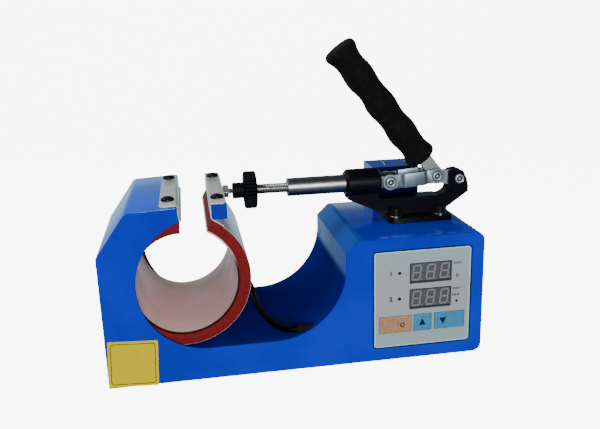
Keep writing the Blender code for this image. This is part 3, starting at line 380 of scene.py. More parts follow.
def filmFinish(name, colour, edge):
    # a printed film: its border catches light in a thin pale line
    finish = Finish(name, colour, 0.38, Specular_IOR_Level=0.3)
    x, y, z = finish.axes()
    side = abs(x - panel["centre"][0] * mm - shift[0] * mm)
    rise = abs(z - panel["centre"][1] * mm - shift[2] * mm)
    border = (panel["size"][0] / 2 * mm - side).smaller(panel["size"][1] / 2 * mm - rise)
    rim = 1 - border.soft(*panel["rim"])
    grain = finish.noise(1500, 3)
    shade = finish.noise(18, 2)
    film = finish.mix(tinted(colour, 0.9), tinted(colour, 1.1), shade * 0.7 + grain * 0.3)
    film = finish.mix(film, panel["fadeColour"], rise.soft(0.0, panel["fade"]) * 0.8)
    finish.feed(Base_Color=finish.mix(film, edge, rim), Roughness=0.34 + grain * 0.1)
    finish.bump(grain, 0.2, 0.00002)
    return finish


keyFilm = {
    "rings": 3300, "hatch": 3100,          # radians in a metre
    "ringEnd": (0.0062, 0.0075), "hatchStart": (0.0060, 0.0072),    # metres from the key's middle
}


def keyFinish(name, colour, key, slant):
    # rings round the key's middle and slanting hatching outside them, both sine waves
    finish = Finish(name, colour, 0.34, Specular_IOR_Level=0.3)
    x, y, z = finish.axes()
    across = x - (panel["keys"][key] + shift[0]) * mm
    rise = z - (panel["keyRise"] + shift[2]) * mm
    reach = (across * across + rise * rise) ** 0.5
    ring = (reach * keyFilm["rings"]).sine() * (1 - reach.soft(*keyFilm["ringEnd"]))
    waves = (across * slant + rise) * keyFilm["hatch"] + finish.noise(420, 2) * 4
    hatch = waves.sine() * reach.soft(*keyFilm["hatchStart"])
    tone = (ring + hatch) * 0.5 + finish.noise(240, 3)
    finish.feed(Base_Color=finish.mix(tinted(colour, 0.70), tinted(colour, 1.42), tone.soft(-0.1, 1.2)),
                Roughness=0.26 + finish.noise(700, 2) * 0.16)
    finish.bump(ring + hatch * 0.7, 0.5, 0.00004)
    return finish


window = {
    "sill": 0.0009, "rim": (0.0002, 0.0011),     # metres
    "rimColour": (0.010, 0.028, 0.032),
    "field": ((0.052, 0.064, 0.070), (0.085, 0.095, 0.102)),
}


def windowFinish(name, low):
    # a smoked window: a paler field inside a dark rim, which is widest below
    finish = Finish(name, (0.09, 0.10, 0.105), 0.25, Specular_IOR_Level=0.3)
    x, y, z = finish.axes()
    size = np.array(panel["display"]) * mm
    left, base = ((place + shift[axis]) * mm for place, axis in zip(low, (0, 2)))
    side = (x - left).smaller(left + size[0] - x)
    inner = side.smaller(z - base - window["sill"]).smaller(base + size[1] - z)
    grain = finish.noise(900, 2)
    field = finish.mix(*window["field"], grain)
    finish.feed(Base_Color=finish.mix(window["rimColour"], field, inner.soft(*window["rim"])),
                Roughness=0.22 + grain * 0.08)
    return finish


def stickerFinish(name, colour):
    # vinyl with slight bubbles and dusty patches
    finish = Finish(name, colour, 0.42, Specular_IOR_Level=0.05)
    bubble = finish.noise(120, 2)
    dirt = finish.noise(45, 4).soft(0.55, 0.8)
    finish.feed(Base_Color=finish.mix(tinted(colour, 1.04), tinted(colour, 0.72), dirt * 0.6),
                Roughness=0.36 + bubble * 0.14)
    finish.bump(bubble, 0.3, 0.0001)
    return finish


lacquer = {"ground": (0.010, 0.14, 0.04), "track": (0.02, 0.20, 0.06)}


def boardFinish(name):
    # green lacquer, paler away from the middles of a cell pattern
    finish = Finish(name, lacquer["ground"], 0.4)
    track = finish.cells(240).soft(0.25, 0.3)
    finish.feed(Base_Color=finish.mix(lacquer["ground"], lacquer["track"], track),
                Roughness=0.36 + track * 0.15)
    finish.bump(track, 0.3, 0.00005)
    return finish


def floorFinish(name):
    # nearly even, and glowing, so that it fades into the backdrop
    finish = Finish(name, floor["colour"], 0.7, Emission_Strength=floor["glow"])
    finish.shader.inputs["Emission Color"].default_value = (1, 1, 1, 1)
    grain = finish.noise(30, 3)
    finish.feed(Base_Color=finish.mix(tinted(floor["colour"], 0.985), tinted(floor["colour"], 1.015), grain),
                Roughness=0.66 + grain * 0.08)
    return finish


# the band and the panel, whose sizes their finishes follow too
heater = {
    "centre": (65.4, 86.1), "outer": 55.8, "shrink": 2.65, "squeeze": 3.0,
    "front": 5.5, "rear": 126.0,
    "leftEnd": 89.0, "rightEnd": 61.0, "seam": -60.0,
    "strap": 0.9, "pad": 7.1, "skin": 2.2, "gap": 0.3,
    "bend": (-50.0, 15.0),           # angles between which the real band flexes; the script works out its line there but bends nothing
    # the painted shade at the cloth's front edge, in metres, and its weave, in radians to a metre
    "edgeShadeDepth": (0.0008, 0.0016), "edgeShadeRise": (0.095, 0.122), "edgeShade": (0.022, 0.002, 0.002),
    "weave": 2600,
}

panel = {
    "centre": (265.8, 55.3),
    "size": (85.0, 86.0),
    "displays": ((254.5, 68.8), (254.5, 45.6)),   # left edge x, low edge z
    "display": (36.6, 17.8),
    "keys": {"set_key": 248.7, "up_key": 266.3, "down_key": 284.5},
    "keyRise": 32.7,
    "dots": ((245.4, 78.9), (245.4, 55.8)),
    "gap": 0.7, "corner": 3.2,                    # round the panel, in the front plate
    # the film's pale rim and the reach of its fading from the middle, in metres
    "rim": (0.0002, 0.0020), "fade": 0.040, "fadeColour": (0.27, 0.37, 0.39),
}

finishes = {
    "housing": paintFinish("blueHousingPaint", paint["housing"]),
    "trough": paintFinish("shadedAndLitTroughPaint", paint["trough"], "trough"),
    "block": paintFinish("shadedBlueBlockPaint", paint["block"]),
    "tower": paintFinish("litBlueTowerPaint", paint["tower"], "tower"),
    "plate": paintFinish("bluePlatePaint", paint["housing"], "plate"),
    "rearBox": paintFinish("blueBoxPaint", paint["housing"], "rearBox"),
    "strap": metalFinish("strapSheet", (0.60, 0.57, 0.50), 0.50, (900, 60, 900), 0.12, coat=0.8),
    "steel": metalFinish("brightSteel", (0.42, 0.43, 0.42), 0.30, (2600, 120, 120), 1.0, 0.000005),
    "stud": metalFinish("studSteel", (0.26, 0.28, 0.29), 0.34, (240, 240, 900), 0.9),
    "thread": metalFinish("screwSteel", (0.42, 0.43, 0.39), 0.34, (600, 120, 120), 1.0, 0.000005),
    "rod": metalFinish("groundRodSteel", (0.20, 0.21, 0.215), 0.36, (2600, 30, 30), 1.0, 0.000002),
    "zinc": metalFinish("zincPlate", (0.23, 0.32, 0.37), 0.36, (240, 240, 900), 0.85),
    "rivet": metalFinish("rivetSteel", (0.60, 0.64, 0.67), 0.36, (900, 900, 900), 0.75, 0.000005),
    "arm": metalFinish("handleArmPlate", (0.25, 0.29, 0.32), 0.46, (300, 300, 300), 0.55),
    "cast": mouldedFinish("blackCasting", (0.0018, 0.0018, 0.0035), 0.36, 620, 0.00010, 2.0, 0.10),
    "screwBlack": mouldedFinish("blackScrewSteel", (0.004, 0.0045, 0.004), 0.34, 1500, 0.00003, 1.5, 0.12),
    "plastic": mouldedFinish("blackPlastic", (0.0022, 0.0026, 0.0038), 0.52, 1400, 0.00003, 1.5, 0.05),
    "rubberAndShade": mouldedFinish("blackRubberAndShade", (0.004, 0.004, 0.005), 0.75, 1100, 0.00008, 1.5, 0.1),
    "cord": mouldedFinish("blackCord", (0.001, 0.001, 0.002), 0.5, 1700, 0.00004, 1.5, 0.05),
    "rocker": mouldedFinish("redRocker", (0.36, 0.012, 0.010), 0.32, 1500, 0.00002),
    "relay": mouldedFinish("paleCase", (0.62, 0.62, 0.58), 0.5, 1300, 0.00003, 1.1),
    "sponge": spongeFinish("redSponge", (0.135, 0.0035, 0.005)),
    "skin": skinFinish("heaterSkin", (0.74, 0.485, 0.46)),
    "grip": gripFinish("gripFoam"),
    "film": filmFinish("panelFilm", (0.325, 0.34, 0.36), (0.34, 0.62, 0.60)),
    "upper_display": windowFinish("upperWindow", panel["displays"][0]),
    "lower_display": windowFinish("lowerWindow", panel["displays"][1]),
    "digit": mouldedFinish("unlitDigit", (0.185, 0.19, 0.195), 0.4, 1300, 0.00001, 1.1),
    "inkAndShade": mouldedFinish("darkInkAndShade", (0.0012, 0.004, 0.010), 0.45, 1500, 0.00001, 1.5, 0.1),
    "arrowInk": mouldedFinish("arrowInk", (0.0012, 0.008, 0.035), 0.45, 1500, 0.00001, 1.5, 0.1),
    "brownInk": mouldedFinish("brownInk", (0.055, 0.010, 0.012), 0.4, 1500, 0.00001),
    "sticker": stickerFinish("yellowVinyl", (0.60, 0.46, 0.0)),
    "board": boardFinish("greenBoard"),
    "floor": floorFinish("paleFloor"),
    "set_key": keyFinish("orangeKeyFilm", (0.34, 0.195, 0.115), "set_key", 1.3),
    "up_key": keyFinish("blueUpKeyFilm", (0.042, 0.205, 0.38), "up_key", 0.9),
    "down_key": keyFinish("blueDownKeyFilm", (0.042, 0.205, 0.38), "down_key", 0.9),
}
print("finishes made:", len(finishes))


# making meshes

merging = {"doubles": 1e-7, "thin": 1e-8, "solid": 1e-6, "flat": 0.6}    # metres, and degrees for flat
straight = math.radians(89)     # a corner's half angle past which it isn't rounded


def addPiece(name, mesh, finish, body, replaced=(), angle=38):
    mesh.materials.append(finishes[finish].material)
    mesh.shade_smooth()
    mesh.set_sharp_from_angle(angle=math.radians(angle))
    piece = bpy.data.objects.new(name, mesh)
    bpy.context.scene.collection.objects.link(piece)
    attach(piece, body)
    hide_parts(*replaced)
    return piece


def cleaned(mesh, thin=False):
    # doubles are merged, thin faces dissolved where asked, and all faces turned outwards
    work = bmesh.new()
    work.from_mesh(mesh)
    bmesh.ops.remove_doubles(work, verts=work.verts, dist=merging["doubles"])
    if thin:
        bmesh.ops.dissolve_degenerate(work, edges=work.edges, dist=merging["thin"])
    bmesh.ops.recalc_face_normals(work, faces=work.faces)
    work.to_mesh(mesh)
    work.free()
    return mesh


def closedMesh(name, points, faces):
    # points in millimetres become a mesh in the frame
    mesh = bpy.data.meshes.new(name)
    mesh.from_pydata(((np.asarray(points).reshape(-1, 3) + shift) * mm).tolist(), [], faces)
    return cleaned(mesh, True)


def gridMesh(name, points):
    # a grid of points, each row a closed ring, joined row to row and closed by caps
    rows, columns = points.shape[:2]
    index = np.arange(rows * columns).reshape(rows, columns)
    here, ahead = index[:-1], index[1:]
    quads = np.stack([here, np.roll(here, -1, 1), np.roll(ahead, -1, 1), ahead], -1)
    faces = quads.reshape(-1, 4).tolist() + [index[0][::-1].tolist(), index[-1].tolist()]
    return closedMesh(name, points, faces)


def circle(radius, start, end, steps, centre=(0, 0)):
    # points on a circle between two angles in degrees, both included
    angle = np.radians(np.linspace(start, end, steps + 1))
    return np.stack([centre[0] + radius * np.cos(angle), centre[1] + radius * np.sin(angle)], -1)


def roundedLoop(low, high, radius, steps=3):
    # a rectangle from its low to its high corner whose corners are quarter circles
    corners = ((high[0], high[1], 0), (low[0], high[1], 90), (low[0], low[1], 180), (high[0], low[1], 270))
    loops = []
    for x, y, start in corners:
        inward = (x - math.copysign(radius, x - (low[0] + high[0]) / 2),
                  y - math.copysign(radius, y - (low[1] + high[1]) / 2))
        loops.append(circle(radius, start, start + 90, steps, inward))
    return np.concatenate(loops)


def unit(vector):
    return vector / np.linalg.norm(vector)


def filleted(points, radii, steps=6):
    # an open path of straight runs whose corners are rounded by arcs tangent to both runs
    points = np.asarray(points, float)
    path = [points[:1]]
    for before, corner, after, radius in zip(points, points[1:], points[2:], radii):
        back, on = unit(before - corner), unit(after - corner)
        half = math.acos(np.clip(back @ on, -1, 1)) / 2
        if half > straight:
            path.append(corner[None])
            continue
        reach = radius / math.tan(half)
        start, end = corner + back * reach, corner + on * reach
        centre = corner + (back + on) / np.linalg.norm(back + on) * radius / math.sin(half)
        first = math.atan2(*(start - centre)[::-1])
        sweep = (math.atan2(*(end - centre)[::-1]) - first + math.pi) % (2 * math.pi) - math.pi
        angle = first + sweep * np.linspace(0, 1, steps + 1)
        path.append(centre + radius * np.stack([np.cos(angle), np.sin(angle)], -1))
    path.append(points[-1:])
    return np.concatenate(path)


def subdivided(start, end, parts):
    # the points between two points that cut their run into equal parts
    return start + (end - start) * np.linspace(0, 1, parts + 1)[1:-1, None]


def bentMesh(name, path, thickness, low, high, edge=0.15, cornerStart=0.0, cornerEnd=0.0, share=None):
    # a sheet along a path in x and z: each row is a rounded rectangle, thickness by width,
    # set square to the path, and narrowed near an end whose corners are round; share changes the
    # thickness along the path
    path = np.asarray(path, float)
    run = np.linalg.norm(np.diff(path, axis=0), axis=1)
    along = np.concatenate([[0], np.cumsum(run)])
    ahead = np.diff(path, axis=0) / run[:, None]
    normals = np.stack([-ahead[:, 1], ahead[:, 0]], -1)
    between = normals[:-1] + normals[1:]
    between /= np.linalg.norm(between, axis=1)[:, None]
    stretch = 1 / np.maximum(np.sum(between * normals[:-1], 1), 0.5)
    normals = np.concatenate([normals[:1], between * stretch[:, None], normals[-1:]])
    section = roundedLoop((min(0, thickness), low), (max(0, thickness), high), edge)
    centre, half = (low + high) / 2, (high - low) / 2
    inset = np.zeros(len(path))
    for radius, distance in ((cornerStart, along), (cornerEnd, along[-1] - along)):
        near = np.clip(radius - distance, 0, None)
        inset += radius - np.sqrt(np.clip(radius ** 2 - near ** 2, 0, None))
    width = centre + (section[None, :, 1] - centre) * (1 - inset / half)[:, None]
    if share is not None:
        normals = normals * share[:, None]
    place = path[:, None, :] + normals[:, None, :] * section[None, :, :1]
    return gridMesh(name, np.stack([place[..., 0], width, place[..., 1]], -1))


def turnedMesh(name, profile, centre, axis="z", steps=64, shaped=None):
    # a profile of (radius, height) rows turned about an axis; shaped can change the radius
    # and the height at each angle
    profile = np.asarray(profile, float)
    angle = np.linspace(0, 2 * math.pi, steps, endpoint=False)[None, :]
    radius = profile[:, :1] + 0 * angle
    height = profile[:, 1:2] + 0 * angle
    if shaped:
        radius, height = shaped(radius, height, angle)
    across, up = radius * np.cos(angle), radius * np.sin(angle)
    order = {"x": (height, across, up), "y": (across, height, up), "z": (across, up, height)}[axis]
    return gridMesh(name, np.stack(order, -1) + np.asarray(centre, float))


def curveMesh(name, curve):
    # the mesh of a curve or a text, made by way of an object that is removed again
    source = bpy.data.objects.new(name, curve)
    bpy.context.scene.collection.objects.link(source)
    bpy.context.view_layer.update()
    mesh = bpy.data.meshes.new_from_object(source.evaluated_get(bpy.context.evaluated_depsgraph_get()))
    bpy.data.objects.remove(source)
    mesh.materials.clear()
    return mesh


def stand(mesh, *place):
    # turns a flat mesh upright, to face the front, and moves it to its place
    mesh.transform(Matrix.Translation(Vector(inFrame(*place))) @ Matrix.Rotation(math.pi / 2, 4, "X"))


def addLine(curve, points):
    # a spline of straight runs through points in metres
    spline = curve.splines.new("POLY")
    spline.points.add(len(points) - 1)
    spline.points.foreach_set("co", np.concatenate([points, np.ones((len(points), 1))], 1).ravel())
    return spline


def flatMesh(name, loops, depth, y, edge=0.0):
    # a filled outline with holes, as thick as depth, its middle at y, with rounded edges
    curve = bpy.data.curves.new(name, "CURVE")
    curve.dimensions = "2D"
    curve.fill_mode = "BOTH"
    curve.extrude = (depth / 2 - edge) * mm
    curve.bevel_depth = edge * mm
    curve.bevel_resolution = 2
    curve.offset = -edge * mm
    for loop in loops:
        addLine(curve, np.pad(np.asarray(loop) * mm, ((0, 0), (0, 1)))).use_cyclic_u = True
    mesh = curveMesh(name, curve)
    stand(mesh, 0, y, 0)
    return cleaned(mesh)


def softened(node, finish, edge, segments=2, angle=36):
    # the solid of the frame with its flat faces rejoined and its edges rounded
    source = frame["nodes"][node]
    work = bmesh.new()
    work.from_mesh(source.data)
    bmesh.ops.remove_doubles(work, verts=work.verts, dist=merging["solid"])
    bmesh.ops.dissolve_limit(work, angle_limit=math.radians(merging["flat"]), verts=work.verts,
                             edges=work.edges)
    mesh = bpy.data.meshes.new(node + "_soft")
    work.to_mesh(mesh)
    work.free()
    piece = addPiece(node + "_soft", mesh, finish, source["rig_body"], [node], angle)
    if edge > 0:
        bevel = piece.modifiers.new("roundEdges", "BEVEL")
        bevel.width = edge * mm
        bevel.segments = segments
        bevel.limit_method = "ANGLE"
        bevel.angle_limit = math.radians(angle)
        bevel.harden_normals = True
        bevel.use_clamp_overlap = True


# housing

housing = {
    "length": 320.3, "depth": 131.2, "top": 109.5, "floor": 27.5, "sheet": 1.5,
    "tower": ((0, 111.6), (25.1, 146.5), (64.7, 148.3)),
    "towerCorners": (2.2, 6.5),
    "mouth": (84.7, 83.8, 56.3, 109.2),       # centre x and z, radius, start angle
    "trough": (139.0, 88.5, 61.0),
    "wallTop": 98.9, "chamfer": 11.3,
    "topCorner": 7.0, "lowCorner": 8.0,
    "tip": 1.0,                               # fillet where the tower meets the mouth
    "edge": 0.25, "lapInset": 0.05,           # the plates' rounding, and how far the bent sheets reach in
    "seam": 4.0, "seamGap": 0.05, "troughEnd": 1.8,
    "inlet": ((256.2, 34.7), (283.8, 55.3)), "switch": ((218.2, 38.2), (237.8, 51.8)), "openingCorner": 0.6,
    # a dark strip of painted shade over the rear plate's edge inside the mouth
    "mouthShade": {"angles": (128, 232), "inset": 0.25, "thickness": 4.0, "across": (126.6, 129.6), "edge": 0.5},
}


def housingPath():
    # the outline from the lower left corner over the tower, through the trough, to the lower right
    h = housing
    mouth, trough = h["mouth"], h["trough"]
    left = filleted([(0, 0), *h["tower"]], h["towerCorners"], 8)
    arcs = [circle(mouth[2], mouth[3], 270, 64, mouth[:2]), circle(trough[2], 270, 360, 48, trough[:2])]
    wall = trough[0] + trough[2]
    lip = [(wall, h["wallTop"]), (wall + h["chamfer"], h["top"])]
    corners = [circle(h["topCorner"], 90, 0, 8, (h["length"] - h["topCorner"], h["top"] - h["topCorner"])),
               circle(h["lowCorner"], 0, -90, 8, (h["length"] - h["lowCorner"], h["lowCorner"]))]
    return left, arcs, lip, corners


def makeHousing():
    h = housing
    left, arcs, lip, corners = housingPath()
    outline = np.concatenate([left, *arcs, lip, *corners])
    centre, reach = np.array(panel["centre"]), np.array(panel["size"]) / 2 + panel["gap"]
    hole = roundedLoop(centre - reach, centre + reach, panel["corner"], 6)
    front = flatMesh("frontPlate", [outline, hole], h["sheet"], h["sheet"] / 2, h["edge"])
    addPiece("frontPlate", front, "plate", "housing", ["front_plate"], 5)
    openings = [roundedLoop(*h[name], h["openingCorner"]) for name in ("inlet", "switch")]
    rear = flatMesh("rearPlate", [outline, *openings], h["sheet"], h["depth"] - h["sheet"] / 2, h["edge"])
    addPiece("rearPlate", rear, "housing", "housing", ["rear_plate"], 5)
    mouth, seam = h["mouth"], lip[1][0] + h["seam"]
    tip = circle(mouth[2], mouth[3], mouth[3], 1, mouth[:2])[0]
    tower = filleted([tip, *h["tower"][::-1], (0, 0)], [h["tip"], *h["towerCorners"][::-1]], 8)
    trough = np.concatenate([[(seam, h["top"])], lip[::-1], arcs[1][::-1], [(h["troughEnd"], h["floor"])]])
    cover = np.concatenate([[(seam + h["seamGap"], h["top"])], *corners])[::-1]
    inside = (h["sheet"] - h["lapInset"], h["depth"] - h["sheet"] + h["lapInset"])
    for name, path, finish, node in (("towerCover", tower, "tower", "tower_cover"),
                                     ("troughSheet", trough, "trough", "trough_sheet"),
                                     ("controlCover", cover, "housing", "control_cover")):
        addPiece(name, bentMesh(name, path, h["sheet"], *inside), finish, "housing", [node])
    softened("base_plate", "housing", 0.3)
    softened("rear_box", "rearBox", 0.6, 3)
    for corner in ("front_left", "front_right", "rear_left", "rear_right"):
        softened("foot_" + corner, "rubberAndShade", 0.4)


makeHousing()
print("housing made")


# heater

lip = {
    "inset": 0.3, "depth": 10.4, "ahead": 0.35, "behind": 0.7, "edge": 0.35,
    "leastShare": 0.86, "growth": (-150, 60),     # its depth grows past this angle, over so many degrees
}
strap = {
    "edge": 0.2, "width": 13.2, "corner": 3.0, "flangeFillet": 1.3, "flangeParts": 8,
    # the left flange's neck, its fillet, its bend, the x that its width is measured from, and its slope
    "leftNeck": 65.85, "leftFillet": 0.6, "leftBend": (65.3, 148.6), "leftFrom": 64.7, "slope": 0.04545,
    "right": (91.2, 149.0), "neck": 50.0, "footRise": 2.2, "footFillet": 1.2,
    "neckBend": ((1.5, -2.5), (0.0, 3.5)),        # where the neck's bend starts and ends, from its foot
}


def heaterArc(depth, start, end):
    # the band's line at a depth below its outer face; left of its lowest point it is a little
    # smaller, and narrower than it is high
    h = heater
    radius = h["outer"] - depth
    angles = np.linspace(start, end, max(int(abs(end - start) / 2), 2) + 1)
    turn = np.radians(angles)
    small = angles < -90
    high = np.where(small, radius - h["shrink"], radius)
    wide = np.where(small, high - h["squeeze"], high)
    centre = np.where(small, h["centre"][1] - h["shrink"], h["centre"][1])
    return np.stack([h["centre"][0] + wide * np.cos(turn), centre + high * np.sin(turn)], -1)


def heaterHalves():
    # each half's name, its node's side, its body, and the angles where it starts and ends
    h = heater
    return (("Fixed", "_left", "housing", h["seam"], h["leftEnd"] - 360),
            ("Moving", "_right", "heater_jaw", h["rightEnd"], h["seam"]))


def flexing(piece):
    # the band's line at each bend angle is worked out but not used; the piece is unparented and its place
    # baked into its mesh
    piece.parent = None
    for angle in heater["bend"]:
        x, z = heaterArc(0, angle, angle)[0]
    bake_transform(piece)


def makeLayers():
    h = heater
    layers = (("spongePad", "sponge", h["strap"] + h["gap"], h["pad"], 0.5, "heater_pad"),
              ("heaterSkin", "skin", h["strap"] + h["pad"] + 2 * h["gap"], h["skin"], 0.35, "heater_liner"))
    for name, finish, depth, thickness, edge, node in layers:
        for half, side, body, start, end in heaterHalves():
            path = heaterArc(depth, start, end)
            mesh = bentMesh(name + half, path, -thickness, h["front"], h["rear"], edge)
            piece = addPiece(name + half, mesh, finish, body, [node + side])
            if body == "heater_jaw":
                flexing(piece)


def makeLips():
    # the sponge's front face swells over the strap's edge and over most of the liner's, deepest
    # at the upper left
    front, (start, over) = heater["front"], lip["growth"]
    for half, side, body, first, last in heaterHalves():
        path = heaterArc(lip["inset"], first, last)
        growth = np.clip((start - np.linspace(first, last, len(path))) / over, 0, 1)
        share = lip["leastShare"] + (1 - lip["leastShare"]) * growth * growth * (3 - 2 * growth)
        mesh = bentMesh("spongeLip" + half, path, -lip["depth"], front - lip["ahead"],
                        front + lip["behind"], lip["edge"], share=share)
        piece = addPiece("spongeLip" + half, mesh, "sponge", body)
        if body == "heater_jaw":
            flexing(piece)


def makeTrim():
    # a dark strip of painted shade covers the rear plate's edge inside the mouth
    mouthShade, mouth = housing["mouthShade"], housing["mouth"]
    path = circle(mouth[2] - mouthShade["inset"], *mouthShade["angles"], 52, mouth[:2])
    mesh = bentMesh("mouthShadeStrip", path, -mouthShade["thickness"], *mouthShade["across"], mouthShade["edge"])
    addPiece("mouthShadeStrip", mesh, "rubberAndShade", "housing")


def makeStraps():
    h, s = heater, strap
    width = (h["front"], h["rear"], s["edge"])
    arc = heaterArc(0, h["seam"], h["leftEnd"] - 360)
    neckTop = (s["leftNeck"], h["centre"][1] + h["outer"] - 2 * h["shrink"])
    end = (s["leftFrom"] - s["width"], s["leftBend"][1] - s["slope"] * s["width"])
    tail = filleted([arc[-1], neckTop, s["leftBend"], end], [s["leftFillet"], s["flangeFillet"]], 5)
    flange = subdivided(tail[-2], tail[-1], s["flangeParts"])
    path = np.concatenate([arc[:-1], tail[:-1], flange, tail[-1:]])
    mesh = bentMesh("strapFixed", path, -h["strap"], *width, 0, s["corner"])
    addPiece("strapFixed", mesh, "strap", "housing", ["heater_strap_left"])

    mesh = bentMesh("strapMoving", heaterArc(0, s["neck"], h["seam"]), -h["strap"], *width)
    flexing(addPiece("strapMoving", mesh, "strap", "heater_jaw", ["heater_strap_right"]))

    foot = heaterArc(0, h["rightEnd"], s["neck"])
    x, z = s["right"]
    top = filleted([(x + s["width"], z), (x, z), (x, foot[0][1] + s["footRise"])], [s["flangeFillet"]], 5)
    flange = subdivided(top[0], top[1], s["flangeParts"])
    run = filleted([top[-2], top[-1], foot[0], foot[1]], [s["footFillet"]] * 2, 5)[1:-1]
    path = np.concatenate([top[:1], flange, top[1:-1], run, foot[1:]])
    mesh = bentMesh("strapNeck", path, h["strap"], *width, s["corner"])
    neck = addPiece("strapNeck", mesh, "strap", "push_head", ["strap_flange"])
    neck.parent = None
    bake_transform(neck)


makeLayers()
makeLips()
makeTrim()
makeStraps()
print("heater made")


# screws, nuts and rivets

buttonHead = {
    "radius": 5.4, "height": 3.0, "socket": 2.0, "socketFloor": 0.7, "shaft": 1.9, "length": 6.0,
    "domeShares": (0.46, 0.97, 0.25),      # where the dome starts, its height there, and at the rim
}
capHead = {
    "radius": 4.8, "height": 6.2, "socket": 2.6, "socketDepth": 3.2, "round": 0.7, "shaft": 3.0,
    "length": 10.5, "washer": 5.8, "washerHeight": 0.9, "washerHole": 0.3, "washerEdge": 0.2, "gap": 0.05,
}
panHead = {
    "radius": 2.8, "height": 1.7, "shaft": 1.3, "fullness": (0.86, 2.4),
    "cross": (0.34, 1.7, 0.8, 0.9),        # half width, reach, depth, and the height above which it cuts
}
socketShare = 0.93          # a hexagonal socket's inner radius as a share of its round one
rivet = {
    "radius": 3.0, "head": 1.2, "halfLength": 2.3,
    "flare": (4.3, 0.25), "roll": (3.35, 0.62),               # radius and thickness, place and radius
    # radius and height over the shaft's end, then each painted-shade ring's inner and outer radius and
    # height
    "dish": ((0, 0.2), (1.2, 0.2), (1.4, -0.4), (2.2, -0.4), (2.55, 0.45)),
    "shadeRings": ((1.4, 2.4, -0.32), (4.0, 4.9, 0.10)), "shadeRingDepth": 0.08,
}
fasteners = {
    "button": {"flange_screw_left_front": (58.1, 23.5, 149.75),
               "flange_screw_left_rear": (58.1, 108.0, 149.75),
               "flange_screw_right_front": (97.8, 23.5, 149.3),
               "flange_screw_right_rear": (97.8, 108.0, 149.3)},
    "pan": {"rear_box_screw_left": ((263.8, 110.8, 150.8), "z", 2.4),
            "rear_box_screw_right": ((286.0, 110.8, 150.8), "z", 2.4),
            "side_screw_front": ((320.6, 8.0, 14.3), "x", 0.02),
            "side_screw_rear": ((320.6, 123.2, 14.3), "x", 0.02)},
    "cap": {"clamp_bolt_front_left": (256.85, 49.7, 114.6), "clamp_bolt_front_right": (298.15, 49.7, 114.6),
            "clamp_bolt_rear_left": (256.85, 81.5, 114.6), "clamp_bolt_rear_right": (298.15, 81.5, 114.6)},
    "rivet": {"plunger_pin": (254.5, 144.0, 8.9), "handle_pivot_pin": (320.0, 142.9, 6.5)},
    "half": {"link_rivet_front": (297.7, 147.2, 6.6, -1), "link_rivet_rear": (297.7, 147.2, 6.6, 1)},
}


def hexSocket(radius, height, angle):
    # the first three rows lie in a hexagonal hole, whose radius follows the hexagon's flat sides
    side = (angle + math.pi / 6) % (math.pi / 3) - math.pi / 6
    inside = np.arange(len(radius))[:, None] < 3
    return np.where(inside, radius * socketShare / np.cos(side), radius), height


def crossSlot(radius, height, angle):
    # a cross cut into the head: lower where a point is near either of two lines through the middle
    half, reach, depth, lowest = panHead["cross"]
    x, y = np.abs(radius * np.cos(angle)), np.abs(radius * np.sin(angle))
    inside = (np.minimum(x, y) < half) & (np.maximum(x, y) < reach)
    return radius, height - inside * depth * (height > lowest)


def addHead(node, rows, place, axis, steps, shaped, finish, body):
    mesh = turnedMesh(node + "_head", rows, place, axis, steps, shaped)
    addPiece(node + "_head", mesh, finish, body, [node], 30)


def addButtonScrew(node, place):
    # the dome's height falls from its middle as a quarter circle does
    b = buttonHead
    start, top, rim = b["domeShares"]
    share = np.linspace(start, 1, 10)
    dome = np.stack([b["radius"] * share, b["height"] * (rim + (1 - rim) * np.sqrt(1 - share ** 2))], -1)
    rows = [(0, b["socketFloor"]), (b["socket"], b["socketFloor"]), (b["socket"], b["height"] * top),
            *dome.tolist(),
            (b["radius"], 0), (b["shaft"], 0), (b["shaft"], -b["length"]), (0, -b["length"])]
    addHead(node, rows, place, "z", 60, hexSocket, "screwBlack", frame["nodes"][node]["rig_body"])


def addPanScrew(node, place, axis, shaft):
    # the head's height falls as the root of what a power of the radius leaves
    p = panHead
    full, power = p["fullness"]
    share = np.linspace(0, 1, 22)
    rows = np.stack([p["radius"] * share, p["height"] * np.sqrt(1 - full * share ** power)], -1).tolist()
    rows += [(p["radius"], 0), (p["shaft"], 0), (p["shaft"], -shaft), (0, -shaft)]
    addHead(node, rows, place, axis, 96, crossSlot, "stud", "housing")


def addCapScrew(node, place):
    # a cylinder with a round shoulder, on a washer
    c = capHead
    low = c["washerHeight"] + c["gap"]
    top = low + c["height"]
    shoulder = circle(c["round"], 90, 0, 5, (c["radius"] - c["round"], top - c["round"]))
    rows = [(0, top - c["socketDepth"]), (c["socket"], top - c["socketDepth"]), (c["socket"], top),
            *shoulder.tolist(),
            (c["radius"], low), (c["shaft"], low), (c["shaft"], -c["length"]), (0, -c["length"])]
    addHead(node, rows, place, "z", 60, hexSocket, "screwBlack", "housing")
    inner, outer, high, edge = c["shaft"] + c["washerHole"], c["washer"], c["washerHeight"], c["washerEdge"]
    ring = [(inner, 0), (inner, high), (outer - edge, high), (outer, high - edge), (outer, 0), (inner, 0)]
    washer = turnedMesh(node + "_washer", ring, place, "z", 64)
    addPiece(node + "_washer", washer, "steel", "housing")


def rivetRows(shaft):
    # half a rivet's outline from its axis outwards: a boss in a dish, a rolled rim, a flare, the shaft
    r = rivet
    dish = [(radius, shaft + rise) for radius, rise in r["dish"]]
    across, roll = r["roll"]
    rim = circle(roll, 180, 20, 9, (across, shaft + r["head"] - roll))
    flare, thick = r["flare"]
    return dish + rim.tolist() + [(flare, shaft + thick), (flare, shaft), (r["radius"], shaft)]


